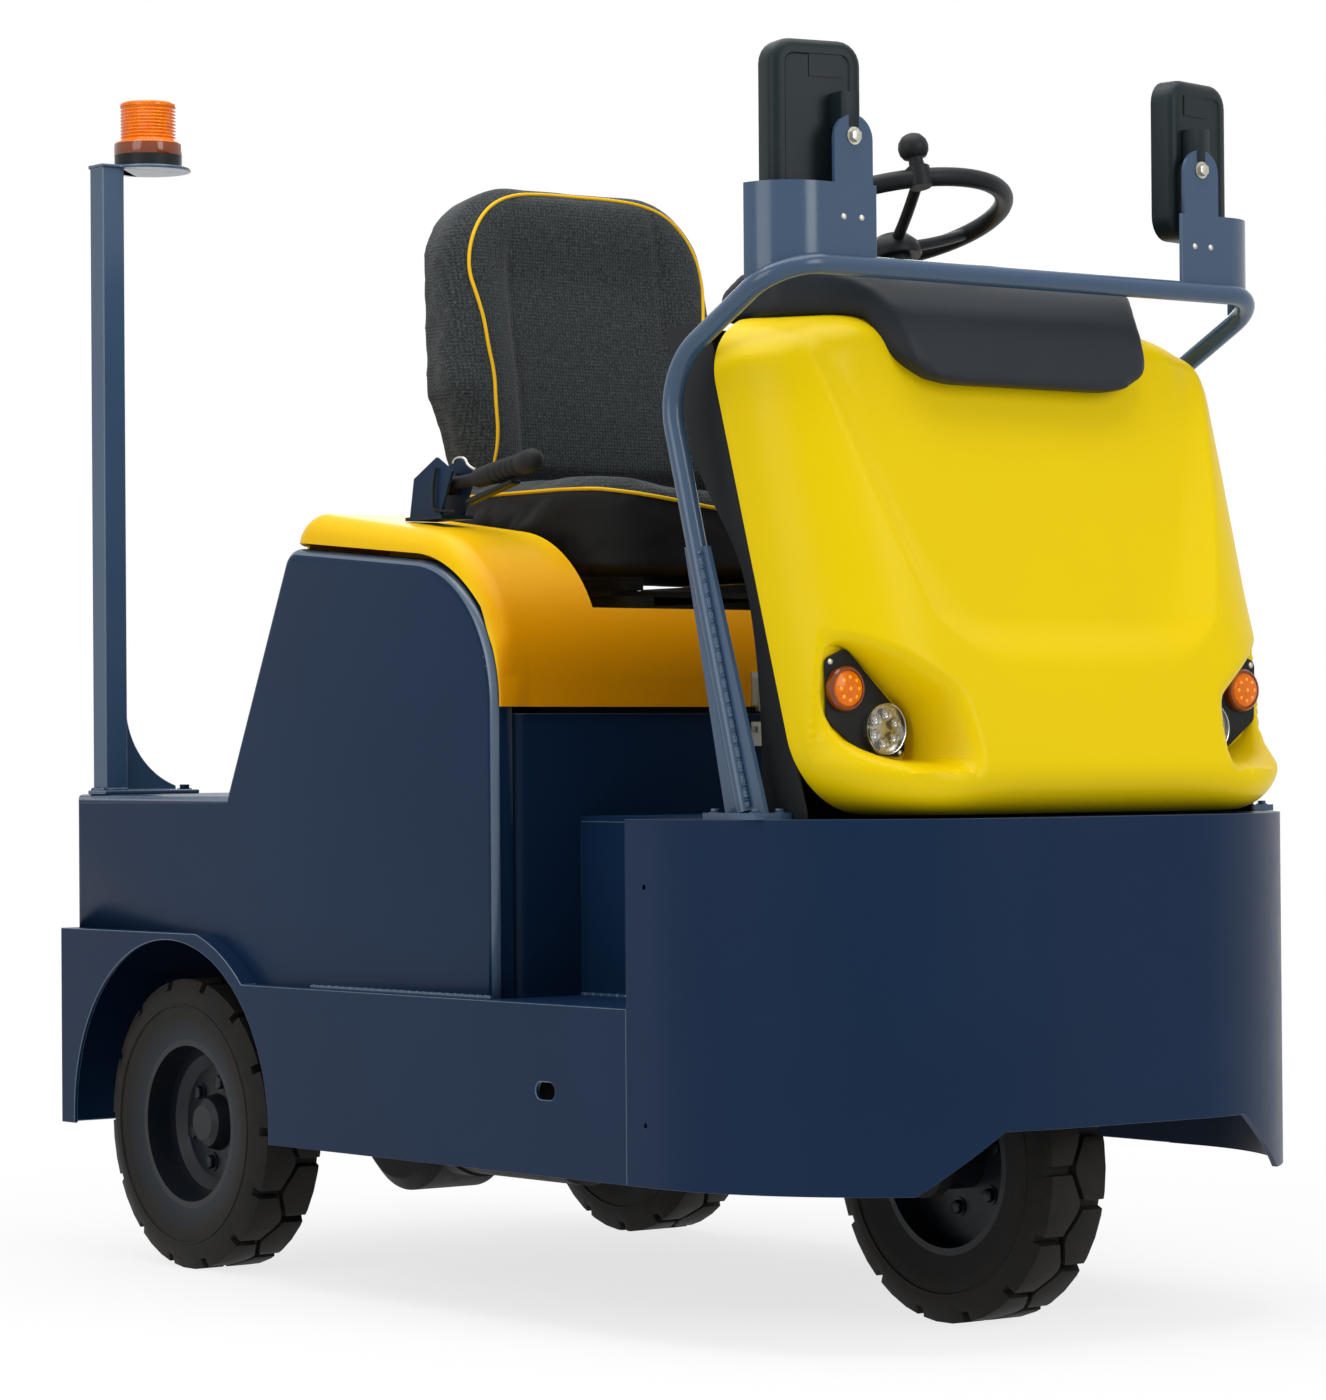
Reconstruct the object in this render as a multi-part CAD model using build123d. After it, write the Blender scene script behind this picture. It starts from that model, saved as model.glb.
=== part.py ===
"""Three-wheel electric baggage tug, modelled as separate pieces in millimetres.

Stations along X are measured from the rear axle, +X forward, +Y to the left, +Z up from the
ground. Each finished piece is moved so that the origin lies under the middle of the tug.
"""
from build123d import *
import math
import os

# Wheels
WHEELBASE = 1162.0
TRACK = 765.0
TYRE_RADIUS = 202.0
TYRE_WIDTH = 108.0
TREAD_WIDTH = 88.0
TREAD_FLATS = 42
LUGS = 14
LUG_DEPTH = 13.0
LUG_GAP = 12.0
ZIGZAG_GAP = 7.0
ZIGZAG_SWING = 11.0
RIM_RADIUS = 118.0
RIM_WALL = 9.0
AXLE_RADIUS = 45.0
HUB_FLANGE_RADIUS = 62.0
FRONT_AXLE_RADIUS = 20.0
RUNNING_GAP = 0.3
MOTOR_FACE = 118.0
MOTOR_END = 380.0
MOTOR_RADIUS = 88.0
GEAR_CASE_RADIUS = 116.0
GEAR_CASE_HALF = 72.0
HUB_FLANGE = 14.0
HUB_SPIGOT_RADIUS = 30.0
HUB_CAP_RADIUS = 40.0
AXLE_PAD = 55.0
FORK_LEG_IN = 63.0
FORK_LEG_OUT = 81.0
FORK_LEG_HALF = 44.0

# Body shell
LOWER_HALF_WIDTH = 460.0
LEDGE_DEPTH = 25.0
UPPER_HALF_WIDTH = LOWER_HALF_WIDTH - LEDGE_DEPTH
REAR_END = -290.0
FRONT_END = 1463.0
SKIRT_BOTTOM = 190.0
LEDGE_TOP = 404.0
REAR_LEDGE_TOP = 470.0
DECK_TOP = 662.0
FLOOR_TOP = 635.0
SKIRT_WALL = 6.0
BUMPER_WALL = 8.0
BUMPER_REAR = 1055.0
BUMPER_CORNER = 353.0
CUTOUT_TOP = 264.0
CUTOUT_TOP_HALF = 198.0
CUTOUT_BOTTOM_HALF = 301.0
ARCH_RADIUS = 255.0
ARCH_CENTRE_HEIGHT = 205.0
ARCH_LIP = 20.0
ARCH_LINER_INNER = 310.0
PANEL_DEPTH = 30.0
PANEL_EDGE = 14.0
PANEL_BEND = 192.0
PANEL_DROP = 49.0
PANEL_BROW_DROP = 33.0
PANEL_HEEL = 32.0
SLOT_X = 888.0
SLOT_Z = 296.0
SLOT_LENGTH = 40.0
SLOT_RADIUS = 11.0
SIDE_HOLE_X = 1092.0
SIDE_HOLE_LOW = 265.0
SIDE_HOLE_SPACING = 288.0
SIDE_HOLE_RADIUS = 4.0

# Frame and floor
RISER_Y = 295.0
RAIL_WALL = 12.0
RAIL_BOTTOM = 300.0
RAIL_FRONT = 1395.0
TRAY_TOP = 400.0
TRAY_WALL = 8.0
TRAY_REAR = 150.0
BOX_FRONT = 745.0
FRONT_PANEL_GAP = 5.0
BATTERY_LENGTH = 500.0
BATTERY_WIDTH = 690.0
BATTERY_HEIGHT = 455.0
BATTERY_ROOM = 50.0

# Hood and seat
HOOD_WALL = 5.0
HOOD_FRONT = 752.0
CHANNEL_FLOOR = TRAY_TOP + BATTERY_HEIGHT + BATTERY_ROOM
HOOD_CREST = CHANNEL_FLOOR + 141.0
HOOD_BROW = CHANNEL_FLOOR + 83.0
HOOD_BEND = 195.0
HOOD_HEEL = 50.0
HOOD_CROWN = 34.0
RAKE_FOOT = 112.0
RAKE_SLOPE = 0.476
HOOD_GAP = 8.0
HOOD_FRONT_BOTTOM = CHANNEL_FLOOR - 129.0
FRONT_PANEL_TOP = HOOD_FRONT_BOTTOM - HOOD_GAP
PANEL_CREST = HOOD_CREST - PANEL_DROP
PANEL_BROW = HOOD_BROW - PANEL_BROW_DROP
CHANNEL_HALF = 262.0
HINGE_Y = 170.0
HINGE_Z = CHANNEL_FLOOR - 17.0
HINGE_X = RAKE_FOOT + (HINGE_Z - DECK_TOP) * RAKE_SLOPE - 14.576
HINGE_PIN_RADIUS = 6.0
SEAT_HALF_WIDTH = 245.0
CUSHION_BOTTOM = CHANNEL_FLOOR + 43.0
CUSHION_TOP = CUSHION_BOTTOM + 140.0
CUSHION_FRONT = 735.0
CUSHION_REAR = 300.0
BACK_FOOT_X = CUSHION_REAR + 30.0
BACK_TOP = CUSHION_TOP + 412.0
CUSHION_REAR_ROUND = 45.0
CUSHION_FRONT_ROUND = 110.0
CUSHION_EDGE = 24.0
BACK_THICKNESS = 95.0
BACK_HEAD_ROUND = 125.0
BACK_EDGE = 22.0
BACK_LEAN = 9.0
BRAKE_X = 490.0
BRAKE_Y = 335.0
BRAKE_FOOT = HOOD_CREST - 19.0

# Steering
WHEEL_CENTRE_X = 1019.0
WHEEL_CENTRE_Z = 1396.0
WHEEL_RIM_RADIUS = 152.0
WHEEL_GRIP_RADIUS = 12.0
COLUMN_LEAN = 16.0
COLUMN_RADIUS = 21.0
COLUMN_LENGTH = 190.0
HUB_DROP = 34.0
KNOB_TURN = -24.0
STEM_RADIUS = 38.0
STEM_TOP = 610.0
FORK_CROWN = 426.0

# Cowl
COWL_FRONT = 1440.0
COWL_REAR = 1296.0
COWL_HALF_WIDTH = 375.0
COWL_CORNER = 165.0
COWL_BOTTOM = 643.0
COWL_TOP = 1246.0
COWL_LEAN = 0.305
COWL_WALL = 5.0
COWL_LOW_ROUND = 105.0
COWL_HIGH_ROUND = 85.0
COWL_NOSE = 70.0
DASH_HALF = 300.0
SCOOP_FOOT = 175.0
SCOOP_RIM = 230.0
SCOOP_DEPTH = 22.0
HEAD_LAMP_Y = 271.0
HEAD_LAMP_Z = 742.0
LAMP_Y = 330.0
LAMP_Z = 790.0
LAMP_FACE_X = 1312.0
LAMP_PLATE = ((-357, 826), (-326, 838), (-238, 757), (-234, 708), (-300, 712), (-355, 752))
LAMP_MOUTH = ((-372, 846), (-330, 860), (-212, 806), (-194, 716), (-240, 686), (-366, 728))
LAMP_RADIUS = 31.0
HEAD_LAMP_DEPTH = 12.0
TURN_LAMP_RADIUS = 27.0
TURN_LAMP_DEPTH = 14.0
LAMP_PLATE_WALL = 4.0

# Guard, mirrors and beacon
TUBE_RADIUS = 12.7
GUARD_Y = 404.0
GUARD_BASE_X = 1223.0
GUARD_KNEE = (1068.0, 1180.0)
GUARD_BAR = (1293.0, 1298.0)
GUARD_KNEE_BEND = 90.0
GUARD_CORNER_BEND = 64.0
STIFFENER_TOP = 965.0
BRACKET_HEIGHT = 86.0
ARM_Y = -290.0
ARM_TOP = 1480.0
ARM_HALF = 30.0
BRACKET_WALL = 5.0
MIRROR_HEIGHT = 205.0
MIRROR_WIDTH = 125.0
MIRROR_DEPTH = 34.0
POST_X = -242.0
POST_Y = -404.0
POST_WIDTH = 36.0
POST_TOP = 1572.0
BEACON_REACH = 70.0
BEACON_TOP = 1667.0
BEACON_BASE = 18.0
BEACON_RADIUS = 40.0
BEACON_COLLAR_RADIUS = 49.0

# Coupling
COUPLING_REACH = 75.0
COUPLING_HEIGHT = 380.0
COUPLING_BORE = 16.0
JAW_GAP = 60.0
JAW_WALL = 16.0

MIDDLE_X = (FRONT_END + REAR_END - COUPLING_REACH) / 2
RAIL_OUTER = RISER_Y - SKIRT_WALL
RAIL_INNER = RAIL_OUTER - RAIL_WALL
PANEL_INNER = UPPER_HALF_WIDTH - PANEL_DEPTH
FLOOR_WALL = 6.0
FLOOR_UNDER = FLOOR_TOP - FLOOR_WALL


def block(x, y, z):
    """A box between pairs of coordinates."""
    size = [high - low for low, high in (x, y, z)]
    centre = [(high + low) / 2 for low, high in (x, y, z)]
    return Pos(*centre) * Box(*size)


def rod(start, end, radius):
    """A round bar between two points."""
    start, end = Vector(*start), Vector(*end)
    plane = Plane(start, z_dir=end - start)
    return plane * Cylinder(radius, (end - start).length, align=(Align.CENTER, Align.CENTER, Align.MIN))


def across(outline, y_low, y_high):
    """Extrude an outline drawn in X and Z from one Y to another."""
    plane = Plane((0, y_high, 0), x_dir=(1, 0, 0), z_dir=(0, -1, 0))
    return extrude(plane * outline, y_high - y_low)


def forward(outline, x_low, x_high):
    """Extrude an outline drawn in Y and Z from one X to another."""
    plane = Plane((x_low, 0, 0), x_dir=(0, 1, 0), z_dir=(1, 0, 0))
    return extrude(plane * outline, x_high - x_low)


def upward(outline, z_low, z_high):
    """Extrude an outline drawn in X and Y from one Z to another."""
    return extrude(Pos(0, 0, z_low) * outline, z_high - z_low)


def other_side(part):
    """The same piece on the left of the tug."""
    return mirror(part, about=Plane.XZ)


def pair(part):
    """A piece and its mirror image, kept as two solids."""
    return Compound(children=[part, other_side(part)])


def outline(*points):
    return make_face(Polyline(*points, close=True))


# Body shell

def ledge_outline(drop):
    """The region under the ledge line, lowered by drop, as far down as the ground."""
    lip = ARCH_RADIUS + ARCH_LIP - drop
    low = Pos((REAR_END + BUMPER_REAR) / 2, (LEDGE_TOP - drop) / 2) * Rectangle(
        BUMPER_REAR - REAR_END, LEDGE_TOP - drop)
    high = Pos(REAR_END / 2, (REAR_LEDGE_TOP - drop) / 2) * Rectangle(-REAR_END, REAR_LEDGE_TOP - drop)
    dome = Pos(0, ARCH_CENTRE_HEIGHT) * Circle(lip)
    dome = dome & Pos(0, (REAR_LEDGE_TOP - drop) / 2) * Rectangle(4 * ARCH_RADIUS, REAR_LEDGE_TOP - drop)
    return low + high + dome


def skirt_right():
    """Lower side plate with its wheel arch, turned in along the top as the ledge."""
    inner = LOWER_HALF_WIDTH - SKIRT_WALL
    below = Pos((REAR_END + BUMPER_REAR) / 2, SKIRT_BOTTOM / 2) * Rectangle(
        2 * (BUMPER_REAR - REAR_END), SKIRT_BOTTOM)
    arch = Pos(0, ARCH_CENTRE_HEIGHT) * Circle(ARCH_RADIUS)
    arch += Pos(0, ARCH_CENTRE_HEIGHT / 2) * Rectangle(2 * ARCH_RADIUS, ARCH_CENTRE_HEIGHT)
    wall = across(ledge_outline(0) - below - arch, -LOWER_HALF_WIDTH, -inner)
    slot = Pos(SLOT_X, SLOT_Z) * SlotOverall(SLOT_LENGTH, 2 * SLOT_RADIUS)
    wall -= across(slot, -LOWER_HALF_WIDTH - 1, -inner + 1)
    ledge = across(ledge_outline(0) - ledge_outline(SKIRT_WALL) - below, -inner, -PANEL_INNER)
    ledge &= block((REAR_END, BOX_FRONT), (-inner, -PANEL_INNER), (LEDGE_TOP - SKIRT_WALL, REAR_LEDGE_TOP))
    liner = across(ledge_outline(0) - ledge_outline(SKIRT_WALL) - below, -PANEL_INNER, -ARCH_LINER_INNER)
    liner &= block((REAR_END + BUMPER_WALL, TRAY_REAR + 35), (-PANEL_INNER, -ARCH_LINER_INNER),
                   (LEDGE_TOP + 6, REAR_LEDGE_TOP))
    return wall + ledge + liner


def side_panel_outline():
    """The tall side of the seat box: low over the wheel, raked up, then rounded down to the front."""
    front = BOX_FRONT + 3
    face = outline((front, LEDGE_TOP), (REAR_END, LEDGE_TOP), (REAR_END, DECK_TOP), (RAKE_FOOT, DECK_TOP),
                   (rake_at(PANEL_CREST), PANEL_CREST), (front, PANEL_BROW))
    face = fillet([v for v in face.vertices() if abs(v.Y - PANEL_BROW) < 1], PANEL_BEND)
    return fillet([v for v in face.vertices() if abs(v.Y - PANEL_CREST) < 1], PANEL_HEEL)


def side_panel_right():
    whole = across(side_panel_outline() - ledge_outline(0), -UPPER_HALF_WIDTH, -PANEL_INNER)
    outer = whole.faces().sort_by(Axis.Y)[0]
    rim = [edge for edge in outer.edges() if edge.center().Z > REAR_LEDGE_TOP + 20]
    return fillet(rim, PANEL_EDGE)


def bumper_plan(inset):
    """Plan of the front wrap, drawn inside its outer line by inset."""
    half = LOWER_HALF_WIDTH - inset
    front = FRONT_END - inset
    radius = BUMPER_CORNER - inset
    centre_x = front - radius
    centre_y = half - radius
    square = radius * math.sqrt(0.5)
    path = Polyline((centre_x, half), (BUMPER_REAR, half), (BUMPER_REAR, -half), (centre_x, -half))
    path += ThreePointArc((centre_x, -half), (centre_x + square, -centre_y - square), (front, -centre_y))
    path += Line((front, -centre_y), (front, centre_y))
    path += ThreePointArc((front, centre_y), (centre_x + square, centre_y + square), (centre_x, half))
    return make_face(path)


def bumper():
    """Front wrap plate from one side round to the other, cut away below for the wheel."""
    inner = bumper_plan(BUMPER_WALL) + Pos(BUMPER_REAR, 0) * Rectangle(
        BUMPER_WALL, 2 * (LOWER_HALF_WIDTH - BUMPER_WALL))
    wrap = upward(bumper_plan(0) - inner, SKIRT_BOTTOM, FLOOR_TOP)
    mouth = outline((-CUTOUT_BOTTOM_HALF, SKIRT_BOTTOM - 1), (CUTOUT_BOTTOM_HALF, SKIRT_BOTTOM - 1),
                    (CUTOUT_TOP_HALF, CUTOUT_TOP), (-CUTOUT_TOP_HALF, CUTOUT_TOP))
    wrap -= forward(mouth, BUMPER_REAR + BUMPER_CORNER / 2, FRONT_END + 1)
    for height in (SIDE_HOLE_LOW, SIDE_HOLE_LOW + SIDE_HOLE_SPACING):
        wrap -= rod((SIDE_HOLE_X, -LOWER_HALF_WIDTH - 1, height), (SIDE_HOLE_X, LOWER_HALF_WIDTH + 1, height),
                    SIDE_HOLE_RADIUS)
    return wrap


def floor_plate():
    """Operator's floor, level with the bumper's top and narrowed between the boarding steps."""
    narrow = Pos((BOX_FRONT + BUMPER_REAR) / 2, 0) * Rectangle(BUMPER_REAR - BOX_FRONT, 2 * RISER_Y)
    return upward(bumper_plan(BUMPER_WALL) + narrow, FLOOR_UNDER, FLOOR_TOP)


def step_right():
    """Boarding step: tread, riser and the wall at its front end."""
    inner = LOWER_HALF_WIDTH - SKIRT_WALL
    front = BUMPER_REAR - RUNNING_GAP
    tread = block((BOX_FRONT, front), (-inner, -RAIL_OUTER), (LEDGE_TOP - SKIRT_WALL, LEDGE_TOP))
    riser = block((BOX_FRONT, front), (-RISER_Y, -RAIL_OUTER), (LEDGE_TOP, FLOOR_UNDER))
    end = block((front - SKIRT_WALL, front), (-inner, -RISER_Y), (LEDGE_TOP, FLOOR_UNDER))
    return tread + riser + end


def rear_panel():
    """Rear plate, wide between the skirts and narrower between the side panels."""
    inner = LOWER_HALF_WIDTH - SKIRT_WALL
    face = outline((-inner, SKIRT_BOTTOM), (inner, SKIRT_BOTTOM), (inner, REAR_LEDGE_TOP - SKIRT_WALL),
                   (PANEL_INNER, REAR_LEDGE_TOP - SKIRT_WALL), (PANEL_INNER, DECK_TOP),
                   (-PANEL_INNER, DECK_TOP), (-PANEL_INNER, REAR_LEDGE_TOP - SKIRT_WALL),
                   (-inner, REAR_LEDGE_TOP - SKIRT_WALL))
    return forward(face, REAR_END, REAR_END + BUMPER_WALL)


def rear_deck():
    """Load deck behind the seat and the raked wall up to the hood's hinge."""
    rear = REAR_END + BUMPER_WALL
    wall = SKIRT_WALL
    head = HINGE_Z - 18
    profile = outline((rear, DECK_TOP - wall), (RAKE_FOOT + wall, DECK_TOP - wall),
                      (rake_at(head) + wall, head), (rake_at(head), head), (RAKE_FOOT, DECK_TOP),
                      (rear, DECK_TOP))
    deck = across(profile, -PANEL_INNER, PANEL_INNER)
    for y in (-HINGE_Y, HINGE_Y):
        deck += rod((HINGE_X, y - 40, HINGE_Z), (HINGE_X, y + 40, HINGE_Z), HINGE_PIN_RADIUS)
        for end in (y - 40, y + 30):
            deck += block((HINGE_X - 10, HINGE_X + 10), (end, end + 10), (head - 20, HINGE_Z + 9))
    return deck


def front_panel():
    """Upright pan that closes the seat box in front, turned back along both sides."""
    half = PANEL_INNER - FRONT_PANEL_GAP
    depth = 45
    pan = block((BOX_FRONT - depth, BOX_FRONT), (-half, half), (TRAY_TOP, FRONT_PANEL_TOP))
    pan = fillet(pan.edges().filter_by(Axis.Z).group_by(Axis.X)[-1], 20)
    return pan - block((BOX_FRONT - depth, BOX_FRONT - SKIRT_WALL), (-half + SKIRT_WALL, half - SKIRT_WALL),
                       (TRAY_TOP, FRONT_PANEL_TOP))


# Frame

def frame_rail_right():
    """Plate rail: low under the battery, full height beside the front wheel."""
    low_top = TRAY_TOP - TRAY_WALL
    profile = outline((REAR_END + BUMPER_WALL, RAIL_BOTTOM), (RAIL_FRONT - 60, RAIL_BOTTOM),
                      (RAIL_FRONT, RAIL_BOTTOM + 60), (RAIL_FRONT, FLOOR_UNDER), (BOX_FRONT, FLOOR_UNDER),
                      (BOX_FRONT, low_top), (REAR_END + BUMPER_WALL, low_top))
    return across(profile, -RAIL_OUTER, -RAIL_INNER)


def frame():
    """Both rails with the battery tray welded across them."""
    rail = frame_rail_right()
    tray = block((TRAY_REAR + 50, BOX_FRONT), (-PANEL_INNER, PANEL_INNER), (TRAY_TOP - TRAY_WALL, TRAY_TOP))
    return rail + tray + other_side(rail)


def battery():
    """Traction battery, one plain block on its tray."""
    front = BOX_FRONT - 15
    half = BATTERY_WIDTH / 2
    return block((front - BATTERY_LENGTH, front), (-half, half), (TRAY_TOP, TRAY_TOP + BATTERY_HEIGHT))


def steering_head():
    """Cross beam between the rails with the bearing tube for the fork's stem."""
    beam = block((WHEELBASE - 50, WHEELBASE + 50), (-RAIL_INNER, RAIL_INNER), (545, STEM_TOP))
    tube = rod((WHEELBASE, 0, FORK_CROWN + 44), (WHEELBASE, 0, STEM_TOP), STEM_RADIUS + 26)
    bore = rod((WHEELBASE, 0, FORK_CROWN), (WHEELBASE, 0, STEM_TOP + 1), STEM_RADIUS + RUNNING_GAP)
    return beam + tube - bore


def axle_end():
    """Y of the outer face of the rear hub flange, from the wheel's middle plane."""
    return TRACK / 2 - HUB_FLANGE - RUNNING_GAP


def rear_axle():
    """Drive axle: tube, gear case, hub flanges and the pads that carry the rails."""
    end = axle_end()
    z = TYRE_RADIUS
    axle = rod((0, -end + HUB_FLANGE, z), (0, end - HUB_FLANGE, z), AXLE_RADIUS)
    case = rod((0, -GEAR_CASE_HALF, z), (0, GEAR_CASE_HALF, z), GEAR_CASE_RADIUS)
    axle += chamfer(case.edges(), GEAR_CASE_HALF / 4)
    axle += rod((0, 0, z), (MOTOR_FACE, 0, z), MOTOR_RADIUS + 4)
    rail = (RAIL_OUTER + RAIL_INNER) / 2
    for side in (-1, 1):
        axle += rod((0, side * (end - HUB_FLANGE), z), (0, side * end, z), HUB_FLANGE_RADIUS)
        axle += rod((0, side * end, z), (0, side * (end + 10), z), HUB_SPIGOT_RADIUS)
        axle += block((-AXLE_PAD, AXLE_PAD), (side * rail - 30, side * rail + 30), (z + 20, RAIL_BOTTOM))
    return axle


def drive_motor():
    """Traction motor bolted to the front of the gear case."""
    motor = rod((MOTOR_FACE, 0, TYRE_RADIUS), (MOTOR_END, 0, TYRE_RADIUS), MOTOR_RADIUS)
    motor = chamfer(motor.edges().sort_by(Axis.X)[-1], 12)
    return motor + rod((MOTOR_END, 0, TYRE_RADIUS), (MOTOR_END + 24, 0, TYRE_RADIUS), MOTOR_RADIUS * 0.6)


def tow_coupling():
    """Two bored jaws on a back plate."""
    z = COUPLING_HEIGHT
    plate = block((REAR_END - 12, REAR_END), (-75, 75), (z - 75, z + 75))
    tongue = Pos(REAR_END - COUPLING_REACH + 34, 0) * Circle(34)
    tongue += Pos(REAR_END - (COUPLING_REACH - 34) / 2, 0) * Rectangle(COUPLING_REACH - 34, 68)
    for low in (z - JAW_GAP / 2 - JAW_WALL, z + JAW_GAP / 2):
        plate += upward(tongue, low, low + JAW_WALL)
    centre = REAR_END - COUPLING_REACH + 34
    return plate - rod((centre, 0, z - 100), (centre, 0, z + 100), COUPLING_BORE)


# Wheels, each drawn about its own middle with the outer side towards -Y

def wheel_ring(*points):
    """Turn a half section given as Y and radius about the axle."""
    section = make_face(Plane.YZ * Polyline(*points, close=True))
    return revolve(section, Axis.Y)


def tyre_casing():
    """The tyre's bulk as flat-sided rings, with flats that stand on the ground."""
    half = TYRE_WIDTH / 2
    tread = TREAD_WIDTH / 2
    rings = [(bead_half(), RIM_RADIUS + 3), (half - 2, RIM_RADIUS + 28), (half, TYRE_RADIUS - 28),
             (tread, TYRE_RADIUS)]
    rings = [(-y, radius) for y, radius in rings] + rings[::-1]
    loops = []
    for y, radius in rings:
        flats = Plane((0, y, 0), x_dir=(1, 0, 0), z_dir=(0, -1, 0)) * RegularPolygon(
            radius, TREAD_FLATS, major_radius=False)
        loops.append(sorted(flats.vertices(), key=lambda v: math.atan2(v.Z, v.X)))
    faces = [make_face(Polyline(*[v.center() for v in loop], close=True)) for loop in (loops[0], loops[-1])]
    for near, far in zip(loops, loops[1:]):
        for i in range(TREAD_FLATS):
            corners = [near[i - 1], near[i], far[i], far[i - 1]]
            faces.append(make_face(Polyline(*[v.center() for v in corners], close=True)))
    return Solid(Shell(faces))


def bead_half():
    return TYRE_WIDTH / 2 - 10


def tyre():
    """Solid tyre with two staggered rows of blunt lugs between a zigzag groove and shoulder gaps."""
    half = TYRE_WIDTH / 2
    pitch = 2 * math.pi * TYRE_RADIUS / LUGS
    swing = math.degrees(math.atan2(2 * ZIGZAG_SWING, pitch / 2))
    run = math.hypot(pitch / 2, 2 * ZIGZAG_SWING) + 4
    height = 2 * LUG_DEPTH
    outward = Pos(0, 0, TYRE_RADIUS)
    gap = outward * Pos(0, half / 2 + 5, 0) * Box(LUG_GAP, half, height)
    slant = outward * Rot(0, 0, swing) * Box(run, ZIGZAG_GAP, height)
    back = outward * Rot(0, 0, -swing) * Box(run, ZIGZAG_GAP, height)
    step = 360 / LUGS
    tools = []
    for k in range(LUGS):
        tools.append(Rot(0, k * step, 0) * gap)
        tools.append(Rot(0, (k + 0.5) * step, 0) * other_side(gap))
        tools.append(Rot(0, (k + 0.25) * step, 0) * back)
        tools.append(Rot(0, (k + 0.75) * step, 0) * slant)
    bore = rod((0, -half, 0), (0, half, 0), RIM_RADIUS)
    return tyre_casing().cut(bore, *tools)


def rear_rim():
    """Dished rim: barrel with lips, disc and hub cap, bored for the axle's spigot."""
    bead = bead_half()
    inner = RIM_RADIUS - RIM_WALL
    rim = wheel_ring((-bead, inner), (bead, inner), (bead, RIM_RADIUS), (-bead, RIM_RADIUS))
    bore = HUB_SPIGOT_RADIUS + RUNNING_GAP
    disc = wheel_ring((4, bore), (HUB_FLANGE, bore), (HUB_FLANGE, inner), (-6, inner), (-6, inner - 14),
                      (4, inner - 30))
    cap = wheel_ring((-22, 0), (-22, HUB_CAP_RADIUS - 16), (-16, HUB_CAP_RADIUS - 6), (4, HUB_CAP_RADIUS),
                     (4, 0))
    return rim + disc + cap


def front_rim():
    """The same rim with its disc in the middle and a hub tube for the through axle."""
    bead = bead_half()
    inner = RIM_RADIUS - RIM_WALL
    bore = FRONT_AXLE_RADIUS + RUNNING_GAP
    rim = wheel_ring((-bead, inner), (bead, inner), (bead, RIM_RADIUS), (-bead, RIM_RADIUS))
    disc = wheel_ring((-5, bore), (5, bore), (5, inner), (-5, inner))
    hub = wheel_ring((-56, bore), (56, bore), (56, 36), (-56, 36))
    return rim + disc + hub


def steer_fork():
    """Stem, crown and two legs over the front wheel."""
    x, z = WHEELBASE, TYRE_RADIUS
    inner, outer, half = FORK_LEG_IN, FORK_LEG_OUT, FORK_LEG_HALF
    crown = block((x - half - 11, x + half + 11), (-outer, outer), (FORK_CROWN, FORK_CROWN + 26))
    fork = crown + rod((x, 0, FORK_CROWN + 26), (x, 0, FORK_CROWN + 44 - RUNNING_GAP), STEM_RADIUS + 22)
    fork += rod((x, 0, FORK_CROWN + 26), (x, 0, STEM_TOP + 8), STEM_RADIUS)
    leg = outline((x - half, z), (x + half, z), (x + half + 11, FORK_CROWN), (x - half - 11, FORK_CROWN))
    leg += Pos(x, z) * Circle(half)
    for low, high in ((-outer, -inner), (inner, outer)):
        fork += across(leg, low, high)
    return fork - rod((x, -outer - 1, z), (x, outer + 1, z), FRONT_AXLE_RADIUS)


def front_axle():
    """Through axle held between the fork's legs by a nut at each end."""
    x, z, end = WHEELBASE, TYRE_RADIUS, FORK_LEG_OUT
    axle = rod((x, -end - 9, z), (x, end + 9, z), FRONT_AXLE_RADIUS)
    for side in (-1, 1):
        axle += rod((x, side * end, z), (x, side * (end + 15), z), 1.5 * FRONT_AXLE_RADIUS)
    return axle


# Hood, hinged at its rear edge, with the seat and the parking lever on it

def rake_at(height):
    """X of the raked rear line of the seat box at a height."""
    return RAKE_FOOT + (height - DECK_TOP) * RAKE_SLOPE


def hood_form(inset):
    """The hood's bulk, drawn inside its outer face by inset: side curve, channel and raked rear."""
    half = UPPER_HALF_WIDTH - 3 - inset
    front = HOOD_FRONT - inset
    crest = HOOD_CREST - inset
    brow = HOOD_BROW - inset
    profile = outline((rake_at(HINGE_Z) + inset, HOOD_FRONT_BOTTOM), (rake_at(HINGE_Z) + inset, HINGE_Z),
                      (rake_at(crest) + inset, crest), (front, brow), (front, HOOD_FRONT_BOTTOM))
    profile = fillet([v for v in profile.vertices() if abs(v.Y - brow) < 1], HOOD_BEND - inset)
    profile = fillet([v for v in profile.vertices() if abs(v.Y - crest) < 1], HOOD_HEEL - inset)
    bulk = across(profile, -half, half)
    sides = bulk.edges().filter_by(lambda edge: abs(abs(edge.center().Y) - half) < 1)
    crown = [edge for edge in sides if edge.center().Z > HOOD_FRONT_BOTTOM + 5 and edge.center().X > 265]
    bulk = fillet(crown, HOOD_CROWN - inset)
    channel = block((0, 900), (-CHANNEL_HALF - inset, CHANNEL_HALF + inset), (CHANNEL_FLOOR - inset, 1200))
    return bulk - channel


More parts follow.
